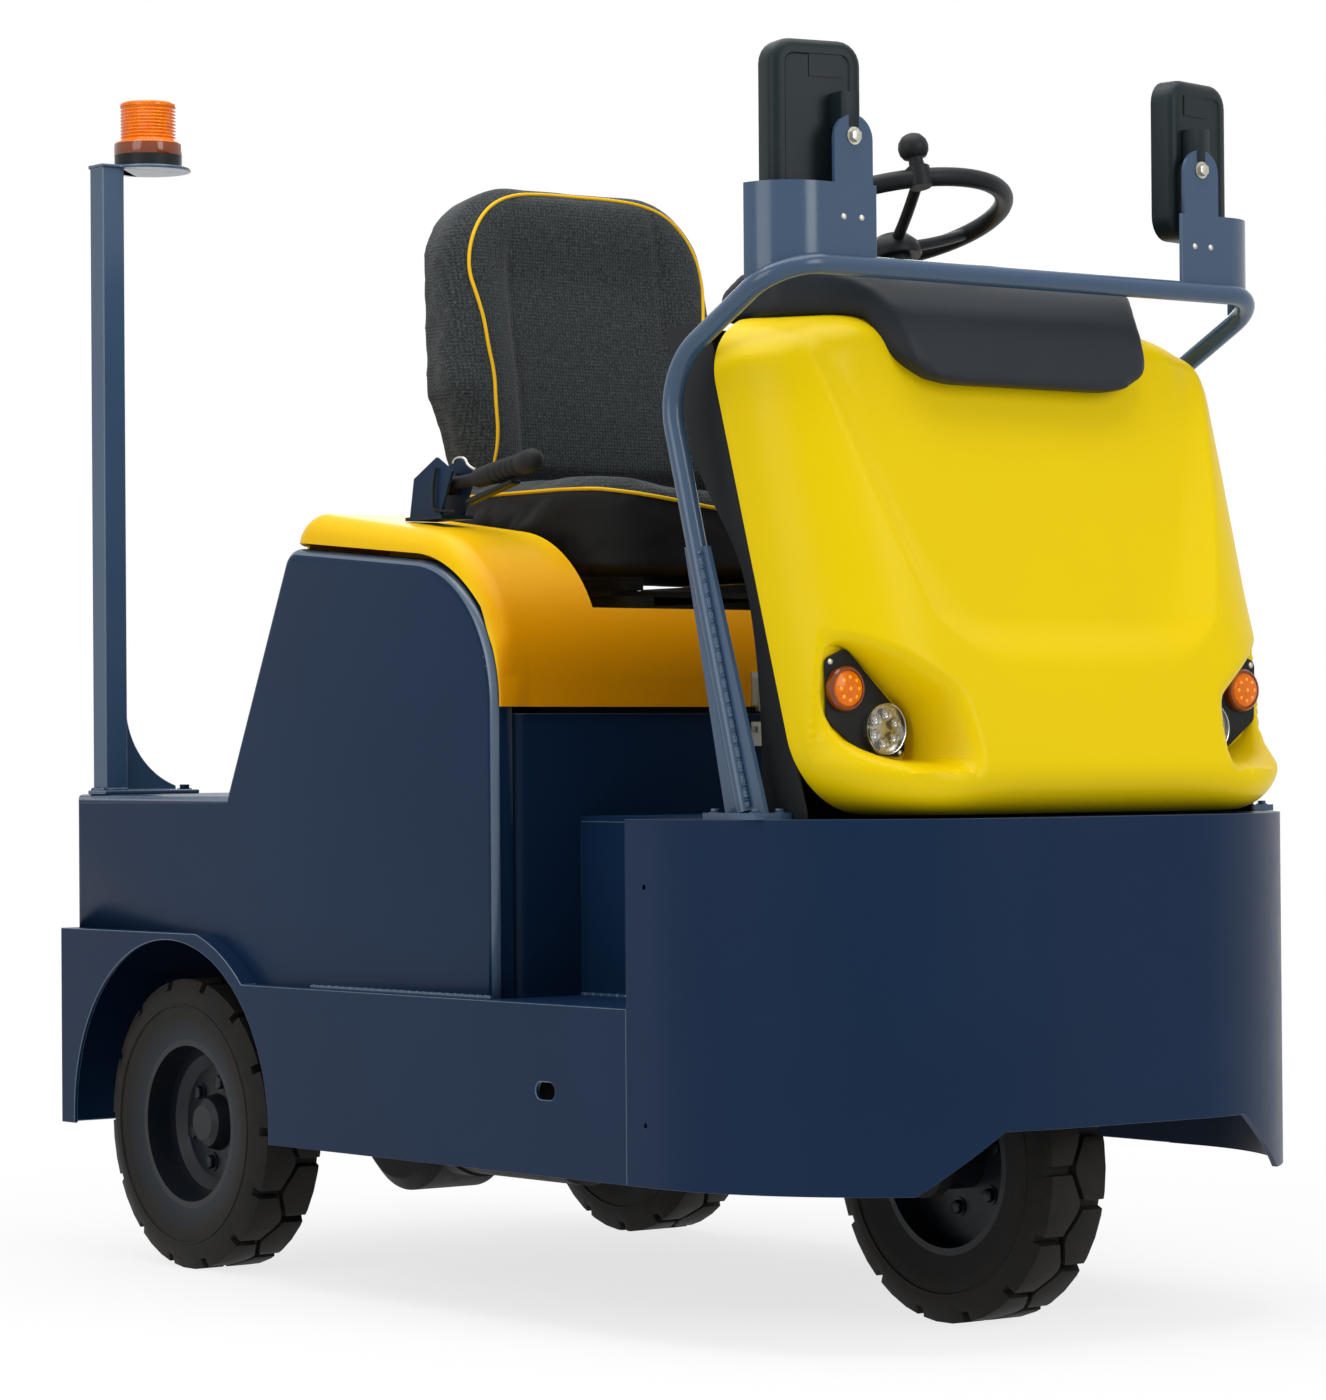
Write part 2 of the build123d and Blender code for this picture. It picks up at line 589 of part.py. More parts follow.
def hood():
    """Moulded cover over the battery: shoulders each side of a flat channel, and two hinge barrels."""
    shell = hood_form(0) - hood_form(HOOD_WALL)
    beside = offset(side_panel_outline(), HOOD_GAP, kind=Kind.INTERSECTION)
    for low, high in ((-UPPER_HALF_WIDTH - 1, -PANEL_INNER + 4), (PANEL_INNER - 4, UPPER_HALF_WIDTH + 1)):
        shell -= across(beside, low, high)
    shell -= block((0, BOX_FRONT - 8), (-600, 600), (0, HINGE_Z - 8))
    for y in (-HINGE_Y, HINGE_Y):
        barrel = rod((HINGE_X, y - 25, HINGE_Z), (HINGE_X, y + 25, HINGE_Z), 2 * HINGE_PIN_RADIUS)
        barrel += block((HINGE_X, rake_at(HINGE_Z) + 7), (y - 25, y + 25), (HINGE_Z + 6, HINGE_Z + 12))
        shell += barrel
        shell -= rod((HINGE_X, y - 40, HINGE_Z), (HINGE_X, y + 40, HINGE_Z), HINGE_PIN_RADIUS + RUNNING_GAP)
    return shell


def hood_latch():
    """Draw latch at the middle of the hood's front edge."""
    x, z = HOOD_FRONT, HOOD_FRONT_BOTTOM
    plate = block((x, x + 3), (-17, 17), (z + 2, z + 46))
    lever = block((x + 3, x + 11), (-11, 11), (z - 6, z + 38))
    return plate + lever


def latch_keeper():
    """Hooked keeper on the front panel below the latch."""
    x, z = BOX_FRONT, FRONT_PANEL_TOP
    plate = block((x, x + 3), (-13, 13), (z - 44, z - 12))
    return plate + block((x + 3, x + 12), (-9, 9), (z - 26, z - 18))


def seat_slides():
    """Two slide rails on the channel floor, joined by cross plates."""
    rear, front = CUSHION_REAR + 15, CUSHION_FRONT - 60
    slides = block((rear + 15, front - 15), (-180, 180), (CHANNEL_FLOOR + 18, CHANNEL_FLOOR + 26))
    for y in (-150, 150):
        slides += block((rear, front + 15), (y - 20, y + 20), (CHANNEL_FLOOR, CHANNEL_FLOOR + 18))
        slides += block((rear, front), (y - 14, y + 14), (CHANNEL_FLOOR + 26, CUSHION_BOTTOM))
    return slides


def seat_cushion():
    """Seat pad with wide rounds at its front corners."""
    half = SEAT_HALF_WIDTH
    pad = Pos((CUSHION_REAR + CUSHION_FRONT) / 2, 0) * Rectangle(CUSHION_FRONT - CUSHION_REAR, 2 * half)
    pad = fillet(pad.vertices().group_by(Axis.X)[0], CUSHION_REAR_ROUND)
    pad = fillet(pad.vertices().group_by(Axis.X)[-1], CUSHION_FRONT_ROUND)
    cushion = upward(pad, CUSHION_BOTTOM, CUSHION_TOP)
    return fillet(cushion.faces().sort_by(Axis.Z)[-1].edges(), CUSHION_EDGE)


def seat_back():
    """Upright back with a rounded head, leaning to the rear."""
    foot = CUSHION_TOP + RUNNING_GAP
    rise = (BACK_TOP - foot) / math.cos(math.radians(BACK_LEAN))
    half = SEAT_HALF_WIDTH
    side = [(half - 38, 0), (half, 120), (half - 25, rise)]
    shape = outline(*side, *[(-y, z) for y, z in reversed(side)])
    shape = fillet(shape.vertices().group_by(Axis.Y)[-1], BACK_HEAD_ROUND)
    pad = extrude(Plane((0, 0, 0), x_dir=(0, 1, 0), z_dir=(1, 0, 0)) * shape, BACK_THICKNESS)
    pad = chamfer(pad.faces().sort_by(Axis.X)[-1].edges(), BACK_EDGE)
    return Pos(BACK_FOOT_X, 0, foot) * Rot(0, -BACK_LEAN, 0) * pad


def brake_bracket():
    """Ratchet plates of the parking lever, standing on the right shoulder."""
    x, y = BRAKE_X, -BRAKE_Y
    foot = block((x - 42, x + 42), (y - 26, y + 26), (BRAKE_FOOT, BRAKE_FOOT + 5))
    cheek = outline((x - 40, BRAKE_FOOT + 5), (x + 30, BRAKE_FOOT + 5), (x + 58, BRAKE_FOOT + 62),
                    (x + 22, BRAKE_FOOT + 82), (x - 30, BRAKE_FOOT + 56))
    for offset_y in (-20, 16):
        foot += across(cheek, y + offset_y, y + offset_y + 4)
    return foot + brake_pin(7)


def brake_pin(radius):
    """Cross pin that the parking lever turns on."""
    x, y, z = BRAKE_X + 14, -BRAKE_Y, BRAKE_FOOT + 48
    return rod((x, y - 20, z), (x, y + 20, z), radius)


def brake_grip():
    """Lever arm hung on the pin between the plates, and its ribbed grip."""
    x, y = BRAKE_X, -BRAKE_Y
    start = (x + 14, y, BRAKE_FOOT + 48)
    middle = (x + 78, y, BRAKE_FOOT + 68)
    end = (x + 205, y, BRAKE_FOOT + 108)
    eye = rod((start[0], y - 12, start[2]), (start[0], y + 12, start[2]), 15)
    grip = eye + rod(start, middle, 9) - brake_pin(7 + RUNNING_GAP)
    return grip + rod(middle, end, 19) + Pos(*end) * Sphere(19)


# Cowl and controls

def cowl_plan(inset, height, half, corner):
    """Rounded plan section of the cowl at a height, deep enough to be cut off behind."""
    front = COWL_FRONT - COWL_LEAN * (height - COWL_BOTTOM) - inset
    back = front - 2 * COWL_CORNER
    plan = Pos((front + back) / 2, 0) * Rectangle(front - back, 2 * (half - inset))
    plan = fillet(plan.vertices().group_by(Axis.X)[-1], corner - inset)
    return Pos(0, 0, height) * plan


def cowl_face(inset):
    """Rounded outline of the cowl seen from the front."""
    height = COWL_TOP - COWL_BOTTOM - 2 * inset
    face = Pos(0, (COWL_TOP + COWL_BOTTOM) / 2) * Rectangle(2 * (COWL_HALF_WIDTH - inset), height)
    face = fillet(face.vertices().group_by(Axis.Y)[0], COWL_LOW_ROUND - inset)
    return fillet(face.vertices().group_by(Axis.Y)[-1], COWL_HIGH_ROUND - inset)


def cowl_form(inset, rear):
    """The cowl's leaning bulk with rounded corners in plan, from the front and from the side."""
    low, high = COWL_BOTTOM - 5, COWL_TOP + 5
    bulk = loft([cowl_plan(inset, low, COWL_HALF_WIDTH, COWL_CORNER),
                 cowl_plan(inset, high, COWL_HALF_WIDTH, COWL_CORNER - 55)], ruled=True)
    bulk &= forward(cowl_face(inset), 900, FRONT_END)
    top_x = COWL_FRONT + 1 - inset - COWL_LEAN * (COWL_TOP - inset - COWL_BOTTOM)
    profile = outline((COWL_FRONT + 1 - inset, COWL_BOTTOM), (top_x, COWL_TOP - inset),
                      (rear - COWL_LEAN * (COWL_TOP - COWL_BOTTOM), COWL_TOP - inset), (rear, COWL_BOTTOM))
    nose = [v for v in profile.vertices() if abs(v.X - top_x) < 1]
    bulk &= across(fillet(nose, COWL_NOSE - inset), -COWL_HALF_WIDTH, COWL_HALF_WIDTH)
    return bulk - cowl_scoop(inset)


def cowl_scoop(inset):
    """The hollow in the middle of the cowl: a panel set back between two flanks and over a sill."""
    foot = COWL_BOTTOM + SCOOP_FOOT
    rim = [(SCOOP_RIM + 92, COWL_TOP + 60), (SCOOP_RIM + 50, foot + 213), (SCOOP_RIM, foot + 40),
           (SCOOP_RIM - 70, foot)]
    panel = [(SCOOP_RIM + 62, COWL_TOP + 60), (SCOOP_RIM, foot + 207), (SCOOP_RIM - 50, foot + 97),
             (SCOOP_RIM - 110, foot + 53)]
    faces = []
    for points, depth in ((rim, -40), (rim, inset), (panel, inset + SCOOP_DEPTH)):
        both = points + [(-y, z) for y, z in reversed(points)]
        path = [(COWL_FRONT - depth - COWL_LEAN * (z - COWL_BOTTOM), y, z) for y, z in both]
        faces.append(Polyline(*path, close=True))
    front = loft([make_face(faces[0]), make_face(faces[1])], ruled=True)
    return front + loft([make_face(faces[1]), make_face(faces[2])], ruled=True)


def lamp_pocket(grow):
    """Hollow in front of the right lamps, flaring inboard from their plate to the cowl's face."""
    throat = offset(outline(*LAMP_PLATE), 10 + grow, kind=Kind.INTERSECTION)
    mouth = offset(outline(*LAMP_MOUTH), grow, kind=Kind.INTERSECTION) if grow else outline(*LAMP_MOUTH)
    deep = Plane((LAMP_FACE_X - grow, 0, 0), x_dir=(0, 1, 0), z_dir=(1, 0, 0))
    out = Plane((FRONT_END, 0, 0), x_dir=(0, 1, 0), z_dir=(1, 0, 0))
    return loft([deep * throat, out * mouth], ruled=True)


def front_cowl():
    """Front moulding with a hollowed middle and a deep pocket for the lamps at each corner."""
    bulk = cowl_form(0, COWL_REAR)
    shell = bulk - cowl_form(COWL_WALL, COWL_REAR - 120)
    cup = lamp_pocket(COWL_WALL) & bulk
    pocket = lamp_pocket(0)
    shell += cup
    shell += other_side(cup)
    shell -= pocket
    return shell - other_side(pocket)


def lamp_plates():
    """Black plate at the bottom of each pocket, shaped to hold both lamps."""
    face = fillet(outline(*LAMP_PLATE).vertices(), 11)
    return pair(forward(face, LAMP_FACE_X, LAMP_FACE_X + LAMP_PLATE_WALL))


def turn_lamps():
    """Round amber lens on each plate."""
    x, y, z = LAMP_FACE_X + LAMP_PLATE_WALL, -LAMP_Y, LAMP_Z
    lens = rod((x, y, z), (x + TURN_LAMP_DEPTH, y, z), TURN_LAMP_RADIUS)
    lens = fillet(lens.edges().sort_by(Axis.X)[-1], 8)
    return pair(lens)


def head_lamps():
    """Round clear lamp below and inboard of each amber one."""
    x, y, z = LAMP_FACE_X + LAMP_PLATE_WALL, -HEAD_LAMP_Y, HEAD_LAMP_Z
    lens = rod((x, y, z), (x + HEAD_LAMP_DEPTH, y, z), LAMP_RADIUS)
    lens = fillet(lens.edges().sort_by(Axis.X)[-1], 3)
    return pair(lens)


def inner_cowl():
    """Dark moulding behind the cowl, bulging towards the operator above the knees."""
    half = COWL_HALF_WIDTH - 1
    front = COWL_REAR - RUNNING_GAP
    top = COWL_TOP - 6
    foot = (COWL_REAR - 80, FLOOR_TOP)
    head = (COWL_REAR - 262, top)
    belly = [(COWL_REAR - x, FLOOR_TOP + z) for x, z in ((90, 195), (124, 315), (204, 435), (244, 545))]
    rear = Spline(foot, *belly, head, tangents=((0, 1), (-0.15, 1)))
    edge = (front - COWL_LEAN * (top - COWL_BOTTOM), top)
    shape = make_face(rear + Polyline(head, edge, (front, COWL_BOTTOM), (front, FLOOR_TOP), foot))
    inside = Pos(4, 0) * shape + Pos(40, 0) * shape
    return across(shape, -half, half) - across(inside, -half + 4, half - 4)


def dash_pad():
    """Soft hood over the instruments, drooping over the cowl's front and narrowing as it droops."""
    seat = COWL_TOP + RUNNING_GAP
    rear = WHEEL_CENTRE_X + 17
    crown = COWL_TOP + 68
    lip = COWL_TOP - 83
    path = Polyline((rear, seat), (rear, crown - 30), (rear + 39, crown - 6), (rear + 114, crown))
    path += Spline((rear + 114, crown), (rear + 199, crown - 26), (rear + 250, crown - 92), (rear + 266, lip),
                   tangents=((1, -0.1), (0.3, -1)))
    path += Polyline((rear + 266, lip), (rear + 204, lip), (rear + 164, seat), (rear, seat))
    pad = across(make_face(path), -DASH_HALF, DASH_HALF)
    half = [(DASH_HALF, crown + 10), (DASH_HALF, seat + 2), (DASH_HALF - 45, seat - 22),
            (DASH_HALF - 108, lip + 22), (DASH_HALF - 142, lip + 4), (DASH_HALF - 175, lip)]
    pad &= forward(outline(*half, *[(-y, z) for y, z in reversed(half)]), rear - 20, FRONT_END)
    half = [(rear - 20, DASH_HALF), (rear + 104, DASH_HALF - 4), (rear + 214, DASH_HALF - 85),
            (rear + 280, DASH_HALF - 112)]
    pad &= upward(outline(*half, *[(x, -y) for x, y in reversed(half)]), lip - 10, crown + 20)
    top = column_top()
    pad -= rod(top - column_axis() * COLUMN_LENGTH, top, COLUMN_RADIUS + RUNNING_GAP)
    return pad - cowl_form(0, COWL_REAR)


def column_axis():
    lean = math.radians(COLUMN_LEAN)
    return Vector(-math.sin(lean), 0, math.cos(lean))


def column_top():
    return Vector(WHEEL_CENTRE_X, 0, WHEEL_CENTRE_Z) - column_axis() * (HUB_DROP + 16 + RUNNING_GAP)


def steering_column():
    top = column_top()
    return rod(top - column_axis() * COLUMN_LENGTH, top, COLUMN_RADIUS)


def steering_wheel():
    """Rim with three spokes down to a hub, and a spinner knob on one of them."""
    wheel = revolve(Plane.XZ * Pos(WHEEL_RIM_RADIUS, 0) * RegularPolygon(WHEEL_GRIP_RADIUS, 16), Axis.Z)
    wheel += Pos(0, 0, -HUB_DROP) * Cylinder(32, 32)
    for turn in (KNOB_TURN, KNOB_TURN + 120, KNOB_TURN + 240):
        reach = Vector(WHEEL_RIM_RADIUS - 4, 0, 0).rotate(Axis.Z, turn)
        wheel += rod((0, 0, -HUB_DROP), (reach.X, reach.Y, 0), 8)
    knob = Plane.XZ * Polyline((0, 0), (9, 0), (15, 6), (15, 17), (9, 22), (9, 27), (16, 32), (19, 42),
                               (16, 53), (0, 60), close=True)
    reach = Vector(WHEEL_RIM_RADIUS, 0, 0).rotate(Axis.Z, KNOB_TURN)
    wheel += Pos(reach.X, reach.Y, 0) * revolve(make_face(knob), Axis.Z)
    return Plane((WHEEL_CENTRE_X, 0, WHEEL_CENTRE_Z), x_dir=(1, 0, math.tan(math.radians(COLUMN_LEAN))),
                 z_dir=column_axis()) * wheel


def pedals():
    """Two floor pedals on short posts."""
    both = []
    for y in (-140, -30):
        pad = Pos(1130, y, FLOOR_TOP + 62) * Rot(0, -35, 0) * Box(110, 70, 8)
        both.append(pad + block((1146, 1160), (y - 10, y + 10), (FLOOR_TOP, FLOOR_TOP + 72)))
    return Compound(children=both)


# Guard, mirrors and beacon

def guard_path():
    base = (GUARD_BASE_X, FLOOR_TOP + 8)
    right = [(base[0], -GUARD_Y, base[1]), (GUARD_KNEE[0], -GUARD_Y, GUARD_KNEE[1]),
             (GUARD_BAR[0], -GUARD_Y, GUARD_BAR[1])]
    left = [(x, -y, z) for x, y, z in reversed(right)]
    return FilletPolyline(*right, *left, radius=[GUARD_KNEE_BEND, GUARD_CORNER_BEND, GUARD_CORNER_BEND,
                                                 GUARD_KNEE_BEND])


def guard_hoop():
    """Bent tube over the cowl on two bolted feet, stiffened by flat plates."""
    path = guard_path()
    hoop = sweep(Plane(path @ 0, z_dir=path % 0) * Circle(TUBE_RADIUS), path)
    lean = (GUARD_KNEE[0] - GUARD_BASE_X) / (GUARD_KNEE[1] - FLOOR_TOP)
    for side in (-1, 1):
        y = side * GUARD_Y
        hoop += block((GUARD_BASE_X - 50, GUARD_BASE_X + 50), (y - 28, y + 28), (FLOOR_TOP, FLOOR_TOP + 8))
        low, high = FLOOR_TOP + 8, STIFFENER_TOP
        head = GUARD_BASE_X + lean * (high - low)
        fin = outline((GUARD_BASE_X - 38, low), (GUARD_BASE_X + 38, low),
                      (head + 22, high), (head - 22, high))
        hoop += across(fin, y - 3, y + 3)
    return hoop


def mirror_bracket_right():
    """Plate standing on the guard's corner, bent round it, with a round-ended arm."""
    x, y = GUARD_BAR[0], -GUARD_Y
    bend = GUARD_CORNER_BEND
    foot = GUARD_BAR[1] - bend * 0.55
    crown = GUARD_BAR[1] + TUBE_RADIUS + BRACKET_HEIGHT
    corner = Polyline((x - bend, y), (x - bend + 1, y))
    corner += ThreePointArc((x - bend + 1, y), (x - bend * 0.29, y + bend * 0.29), (x, y + bend))
    corner += Line((x, y + bend), (x, ARM_Y + 34))
    strip = offset(corner, BRACKET_WALL / 2, side=Side.BOTH)
    plate = upward(make_face(strip), foot, crown)
    head = ARM_TOP - ARM_HALF
    arm = Pos(ARM_Y, (foot + head) / 2) * Rectangle(2 * ARM_HALF, head - foot)
    arm += Pos(ARM_Y, head) * Circle(ARM_HALF)
    plate += forward(arm, x - BRACKET_WALL / 2, x + BRACKET_WALL / 2)
    return (plate - guard_hoop()).solids().sort_by(SortBy.VOLUME)[-1]


def mirror_frame():
    """Plane of the right mirror: outline axes across and up, looking back at the operator."""
    middle = (GUARD_BAR[0] - BRACKET_WALL / 2 - 26, ARM_Y - 30, ARM_TOP - 10)
    return Plane(middle, x_dir=(0.2, 1, 0), z_dir=(-1, 0.2, 0))


def mirror_housing_right():
    body = RectangleRounded(MIRROR_WIDTH, MIRROR_HEIGHT, 30)
    shell = extrude(body, MIRROR_DEPTH)
    shell = fillet(shell.faces().sort_by(Axis.Z)[0].edges(), 14)
    opening = extrude(RectangleRounded(MIRROR_WIDTH - 10, MIRROR_HEIGHT - 10, 26), 4)
    shell -= Pos(0, 0, MIRROR_DEPTH - 3) * opening
    stalk = Pos(30, -20, -11) * Box(26, 44, 24)
    return mirror_frame() * (shell + stalk) - mirror_bracket_right()


def mirror_glass_right():
    glass = extrude(RectangleRounded(MIRROR_WIDTH - 11, MIRROR_HEIGHT - 11, 25.5), 2.5)
    return mirror_frame() * Pos(0, 0, MIRROR_DEPTH - 3) * glass


def beacon_post():
    """Square post on a bolted foot with a hollow-cut gusset and a teardrop top plate."""
    half = POST_WIDTH / 2
    x, y = POST_X, POST_Y
    post = block((x - half, x + half), (y - half, y + half), (DECK_TOP + 6, POST_TOP - 5))
    post += block((x - half - 6, x + half + 6), (y - half - 6, y + 136), (DECK_TOP, DECK_TOP + 6))
    near, far, low, high = y + half, y + half + 91, DECK_TOP + 6, DECK_TOP + 140
    web = Polyline((near, low), (far, low), (far, low + 6))
    web += ThreePointArc((far, low + 6), (near + 30, low + 52), (near + 8, high))
    web += Polyline((near + 8, high), (near, high), (near, low))
    post += forward(make_face(web), x - 3, x + 3)
    beside = POST_WIDTH + 4
    top = Pos(x, y + BEACON_REACH) * Circle(62) + Pos(x, y) * Rectangle(beside, beside)
    top += Pos(x, y + BEACON_REACH / 2) * Rectangle(beside, BEACON_REACH)
    return post + upward(top, POST_TOP - 5, POST_TOP)


def beacon_base():
    """Black foot of the beacon."""
    x, y = POST_X, POST_Y + BEACON_REACH
    return rod((x, y, POST_TOP), (x, y, POST_TOP + BEACON_BASE), BEACON_COLLAR_RADIUS)


def beacon_lens():
    """Amber lens: wide collar, straight ribbed wall and domed top."""
    x, y = POST_X, POST_Y + BEACON_REACH
    low = POST_TOP + BEACON_BASE
    lens = rod((x, y, low + 20), (x, y, BEACON_TOP), BEACON_RADIUS)
    lens = fillet(lens.edges().sort_by(Axis.Z)[-1], 6)
    return lens + rod((x, y, low), (x, y, low + 20), BEACON_COLLAR_RADIUS)


def build():
    pieces = {}
    pieces["skirt_right"] = skirt_right()
    pieces["skirt_left"] = other_side(pieces["skirt_right"])
    pieces["side_panel_right"] = side_panel_right()
    pieces["side_panel_left"] = other_side(pieces["side_panel_right"])
    pieces["bumper"] = bumper()
    pieces["floor_plate"] = floor_plate()
    pieces["boarding_steps"] = pair(step_right())
    pieces["rear_panel"] = rear_panel()
    pieces["rear_deck"] = rear_deck()
    pieces["front_panel"] = front_panel()
    pieces["frame"] = frame()
    pieces["battery"] = battery()
    pieces["steering_head"] = steering_head()
    pieces["rear_axle"] = rear_axle()
    pieces["drive_motor"] = drive_motor()
    pieces["tow_coupling"] = tow_coupling()
    right_hub = Pos(0, -TRACK / 2, TYRE_RADIUS)
    front_hub = Pos(WHEELBASE, 0, TYRE_RADIUS)
    pieces["rear_tyre_right"] = right_hub * tyre()
    pieces["rear_rim_right"] = right_hub * rear_rim()
    pieces["rear_tyre_left"] = other_side(pieces["rear_tyre_right"])
    pieces["rear_rim_left"] = other_side(pieces["rear_rim_right"])
    pieces["front_tyre"] = front_hub * tyre()
    pieces["front_rim"] = front_hub * front_rim()
    pieces["steer_fork"] = steer_fork()
    pieces["front_axle"] = front_axle()
    pieces["hood"] = hood()
    pieces["hood_latch"] = hood_latch()
    pieces["latch_keeper"] = latch_keeper()
    pieces["seat_slides"] = seat_slides()
    pieces["seat_cushion"] = seat_cushion()
    pieces["seat_back"] = seat_back()
    pieces["brake_bracket"] = brake_bracket()
    pieces["brake_grip"] = brake_grip()
    pieces["front_cowl"] = front_cowl()
    pieces["inner_cowl"] = inner_cowl()
    pieces["dash_pad"] = dash_pad()
    pieces["lamp_plates"] = lamp_plates()
    pieces["turn_lamps"] = turn_lamps()
    pieces["head_lamps"] = head_lamps()
    pieces["guard_hoop"] = guard_hoop()
    pieces["steering_column"] = steering_column()
    pieces["steering_wheel"] = steering_wheel()
    pieces["pedals"] = pedals()
    pieces["beacon_post"] = beacon_post()
    pieces["beacon_base"] = beacon_base()
    pieces["beacon_lens"] = beacon_lens()
    pieces["mirror_brackets"] = pair(mirror_bracket_right())
    pieces["mirror_housings"] = pair(mirror_housing_right())
    pieces["mirror_glasses"] = pair(mirror_glass_right())
    return pieces


def main():
    os.makedirs("parts", exist_ok=True)
    for name, piece in build().items():
        export_step(Pos(-MIDDLE_X, 0, 0) * piece, f"parts/{name}.step")


main()
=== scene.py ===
# %% [markdown]
# # Dressing an airport baggage tug
# The construction model gives every panel, wheel and lamp as a plain solid at its true place. This lesson
# turns those solids into the finished tug: paint, cloth, rubber and glass, and the small things that a maker
# adds last. We begin by loading the frame.

# %% Load the frame
import math
from contextlib import contextmanager

import bmesh
import bpy
from mathutils import Matrix, Vector


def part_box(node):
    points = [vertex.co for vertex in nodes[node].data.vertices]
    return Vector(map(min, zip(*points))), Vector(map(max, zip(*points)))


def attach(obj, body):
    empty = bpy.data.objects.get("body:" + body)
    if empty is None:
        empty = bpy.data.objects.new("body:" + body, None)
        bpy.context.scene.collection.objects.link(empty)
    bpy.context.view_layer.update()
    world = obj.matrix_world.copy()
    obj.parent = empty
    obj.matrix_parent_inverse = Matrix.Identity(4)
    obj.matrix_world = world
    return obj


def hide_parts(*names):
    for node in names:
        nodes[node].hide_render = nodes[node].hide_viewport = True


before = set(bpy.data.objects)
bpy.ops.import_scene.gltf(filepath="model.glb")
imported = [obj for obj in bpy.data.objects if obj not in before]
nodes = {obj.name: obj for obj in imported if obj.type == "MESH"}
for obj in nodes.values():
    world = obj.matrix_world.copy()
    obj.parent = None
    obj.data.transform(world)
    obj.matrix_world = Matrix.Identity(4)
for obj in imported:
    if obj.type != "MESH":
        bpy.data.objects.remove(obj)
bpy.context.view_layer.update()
scene = bpy.context.scene
scene.view_settings.view_transform = "Standard"

# %% [markdown]
# Stations on this tug are measured from the rear axle, in millimetres, as a fitter would with a tape from the
# wheel nut. The frame's own origin is under the middle of the tug, so one function turns stations into metres
# there.

# %% Stations
MIDDLE = 549.0
SIDES = (-1, 1)


def at(x, y, z):
    """A station in millimetres from the rear axle, as a place in the frame."""
    return Vector(((x - MIDDLE) / 1000, y / 1000, z / 1000))


def per_mm(size):
    """Texture scale whose pattern repeats about every size millimetres on Object coordinates."""
    return 1000.0 / size


print("rear axle at", tuple(at(0, 0, 0)))

# %% [markdown]
# The photograph was taken from the front right, at about hip height, with a long lens. A long lens keeps the
# tug's far side nearly as large as its near side. The camera here has the same place, aim and focal length, on
# a 36 mm sensor.

# %% Camera
SENSOR = 36
FOCAL_SHARE = 4636.66 / 1400
camera_data = bpy.data.cameras.new("photo_camera")
camera = bpy.data.objects.new("photo_camera", camera_data)
scene.collection.objects.link(camera)
azimuth = math.radians(52.19)
pitch = math.radians(-0.68)
roll = math.radians(-0.43)
level = math.cos(pitch)
backward = Vector((math.sin(azimuth) * level, -math.cos(azimuth) * level, math.sin(pitch)))
sideways = Vector((math.cos(azimuth), math.sin(azimuth), 0))
upward = backward.cross(sideways)
right = sideways * math.cos(roll) + upward * math.sin(roll)
up = upward * math.cos(roll) - sideways * math.sin(roll)
turn = Matrix((right, up, backward)).transposed().to_4x4()
camera.matrix_world = Matrix.Translation(at(5540.62, -3879.92, 712.79)) @ turn
camera_data.lens = FOCAL_SHARE * SENSOR
camera_data.sensor_width = SENSOR
scene.camera = camera
print("camera", tuple(round(v, 3) for v in camera.location))

# %% [markdown]
# A studio for painted metal needs large soft lights: a glossy panel shows the light's own shape, so a small
# lamp would leave a hard white spot. One big overhead panel, a tall one on each side of the camera and a weaker
# one behind give broad, soft reflections. The floor is white and keeps the contact shadow. It and the world are
# white to the camera and in glossy metal and glass, while the light they give the tug stays low.

# %% Studio helpers


def add_node(tree, kind, links=None, **settings):
    """Add a node, set its options, and fill or link its inputs by name or number."""
    made = tree.nodes.new(kind)
    for key, value in settings.items():
        setattr(made, key, value)
    for key, value in (links or {}).items():
        socket = made.inputs[key]
        if isinstance(value, bpy.types.NodeSocket):
            tree.links.new(value, socket)
        else:
            socket.default_value = value
    return made


def linear(code):
    """An sRGB hex colour as linear red, green, blue and alpha."""
    parts = [int(code[i:i + 2], 16) / 255 for i in (1, 3, 5)]
    return [v / 12.92 if v <= 0.04045 else ((v + 0.055) / 1.055) ** 2.4 for v in parts] + [1.0]


def cleared(owner):
    """The empty node tree of a world or a material."""
    owner.use_nodes = True
    owner.node_tree.nodes.clear()
    return owner.node_tree


def shown(tree):
    """1 for rays that show the background: to the camera, in a reflection or through glass."""
    rays = add_node(tree, "ShaderNodeLightPath").outputs
    share = rays["Is Camera Ray"]
    for kind in ("Is Glossy Ray", "Is Transmission Ray"):
        share = add_node(tree, "ShaderNodeMath", {0: share, 1: rays[kind]}, operation="MAXIMUM").outputs[0]
    return share


def soft_panel(name, place, aim, size, power):
    """A rectangular lamp at a place, facing an aim."""
    data = bpy.data.lights.new(name, "AREA")
    data.shape = "RECTANGLE"
    data.size, data.size_y = size
    data.energy = power
    lamp = bpy.data.objects.new(name, data)
    lamp.location = place
    lamp.rotation_euler = (Vector(aim) - Vector(place)).to_track_quat("-Z", "Y").to_euler()
    scene.collection.objects.link(lamp)


# %% Studio
scene.world = bpy.data.worlds.new("white_studio")
sky = cleared(scene.world)
soft = add_node(sky, "ShaderNodeBackground", {"Color": linear("#EEF1F5"), "Strength": 0.30})
white = add_node(sky, "ShaderNodeBackground", {"Color": linear("#FFFFFF"), "Strength": 1.0})
both = add_node(sky, "ShaderNodeMixShader", {0: shown(sky), 1: soft.outputs[0], 2: white.outputs[0]})
add_node(sky, "ShaderNodeOutputWorld", {"Surface": both.outputs[0]})

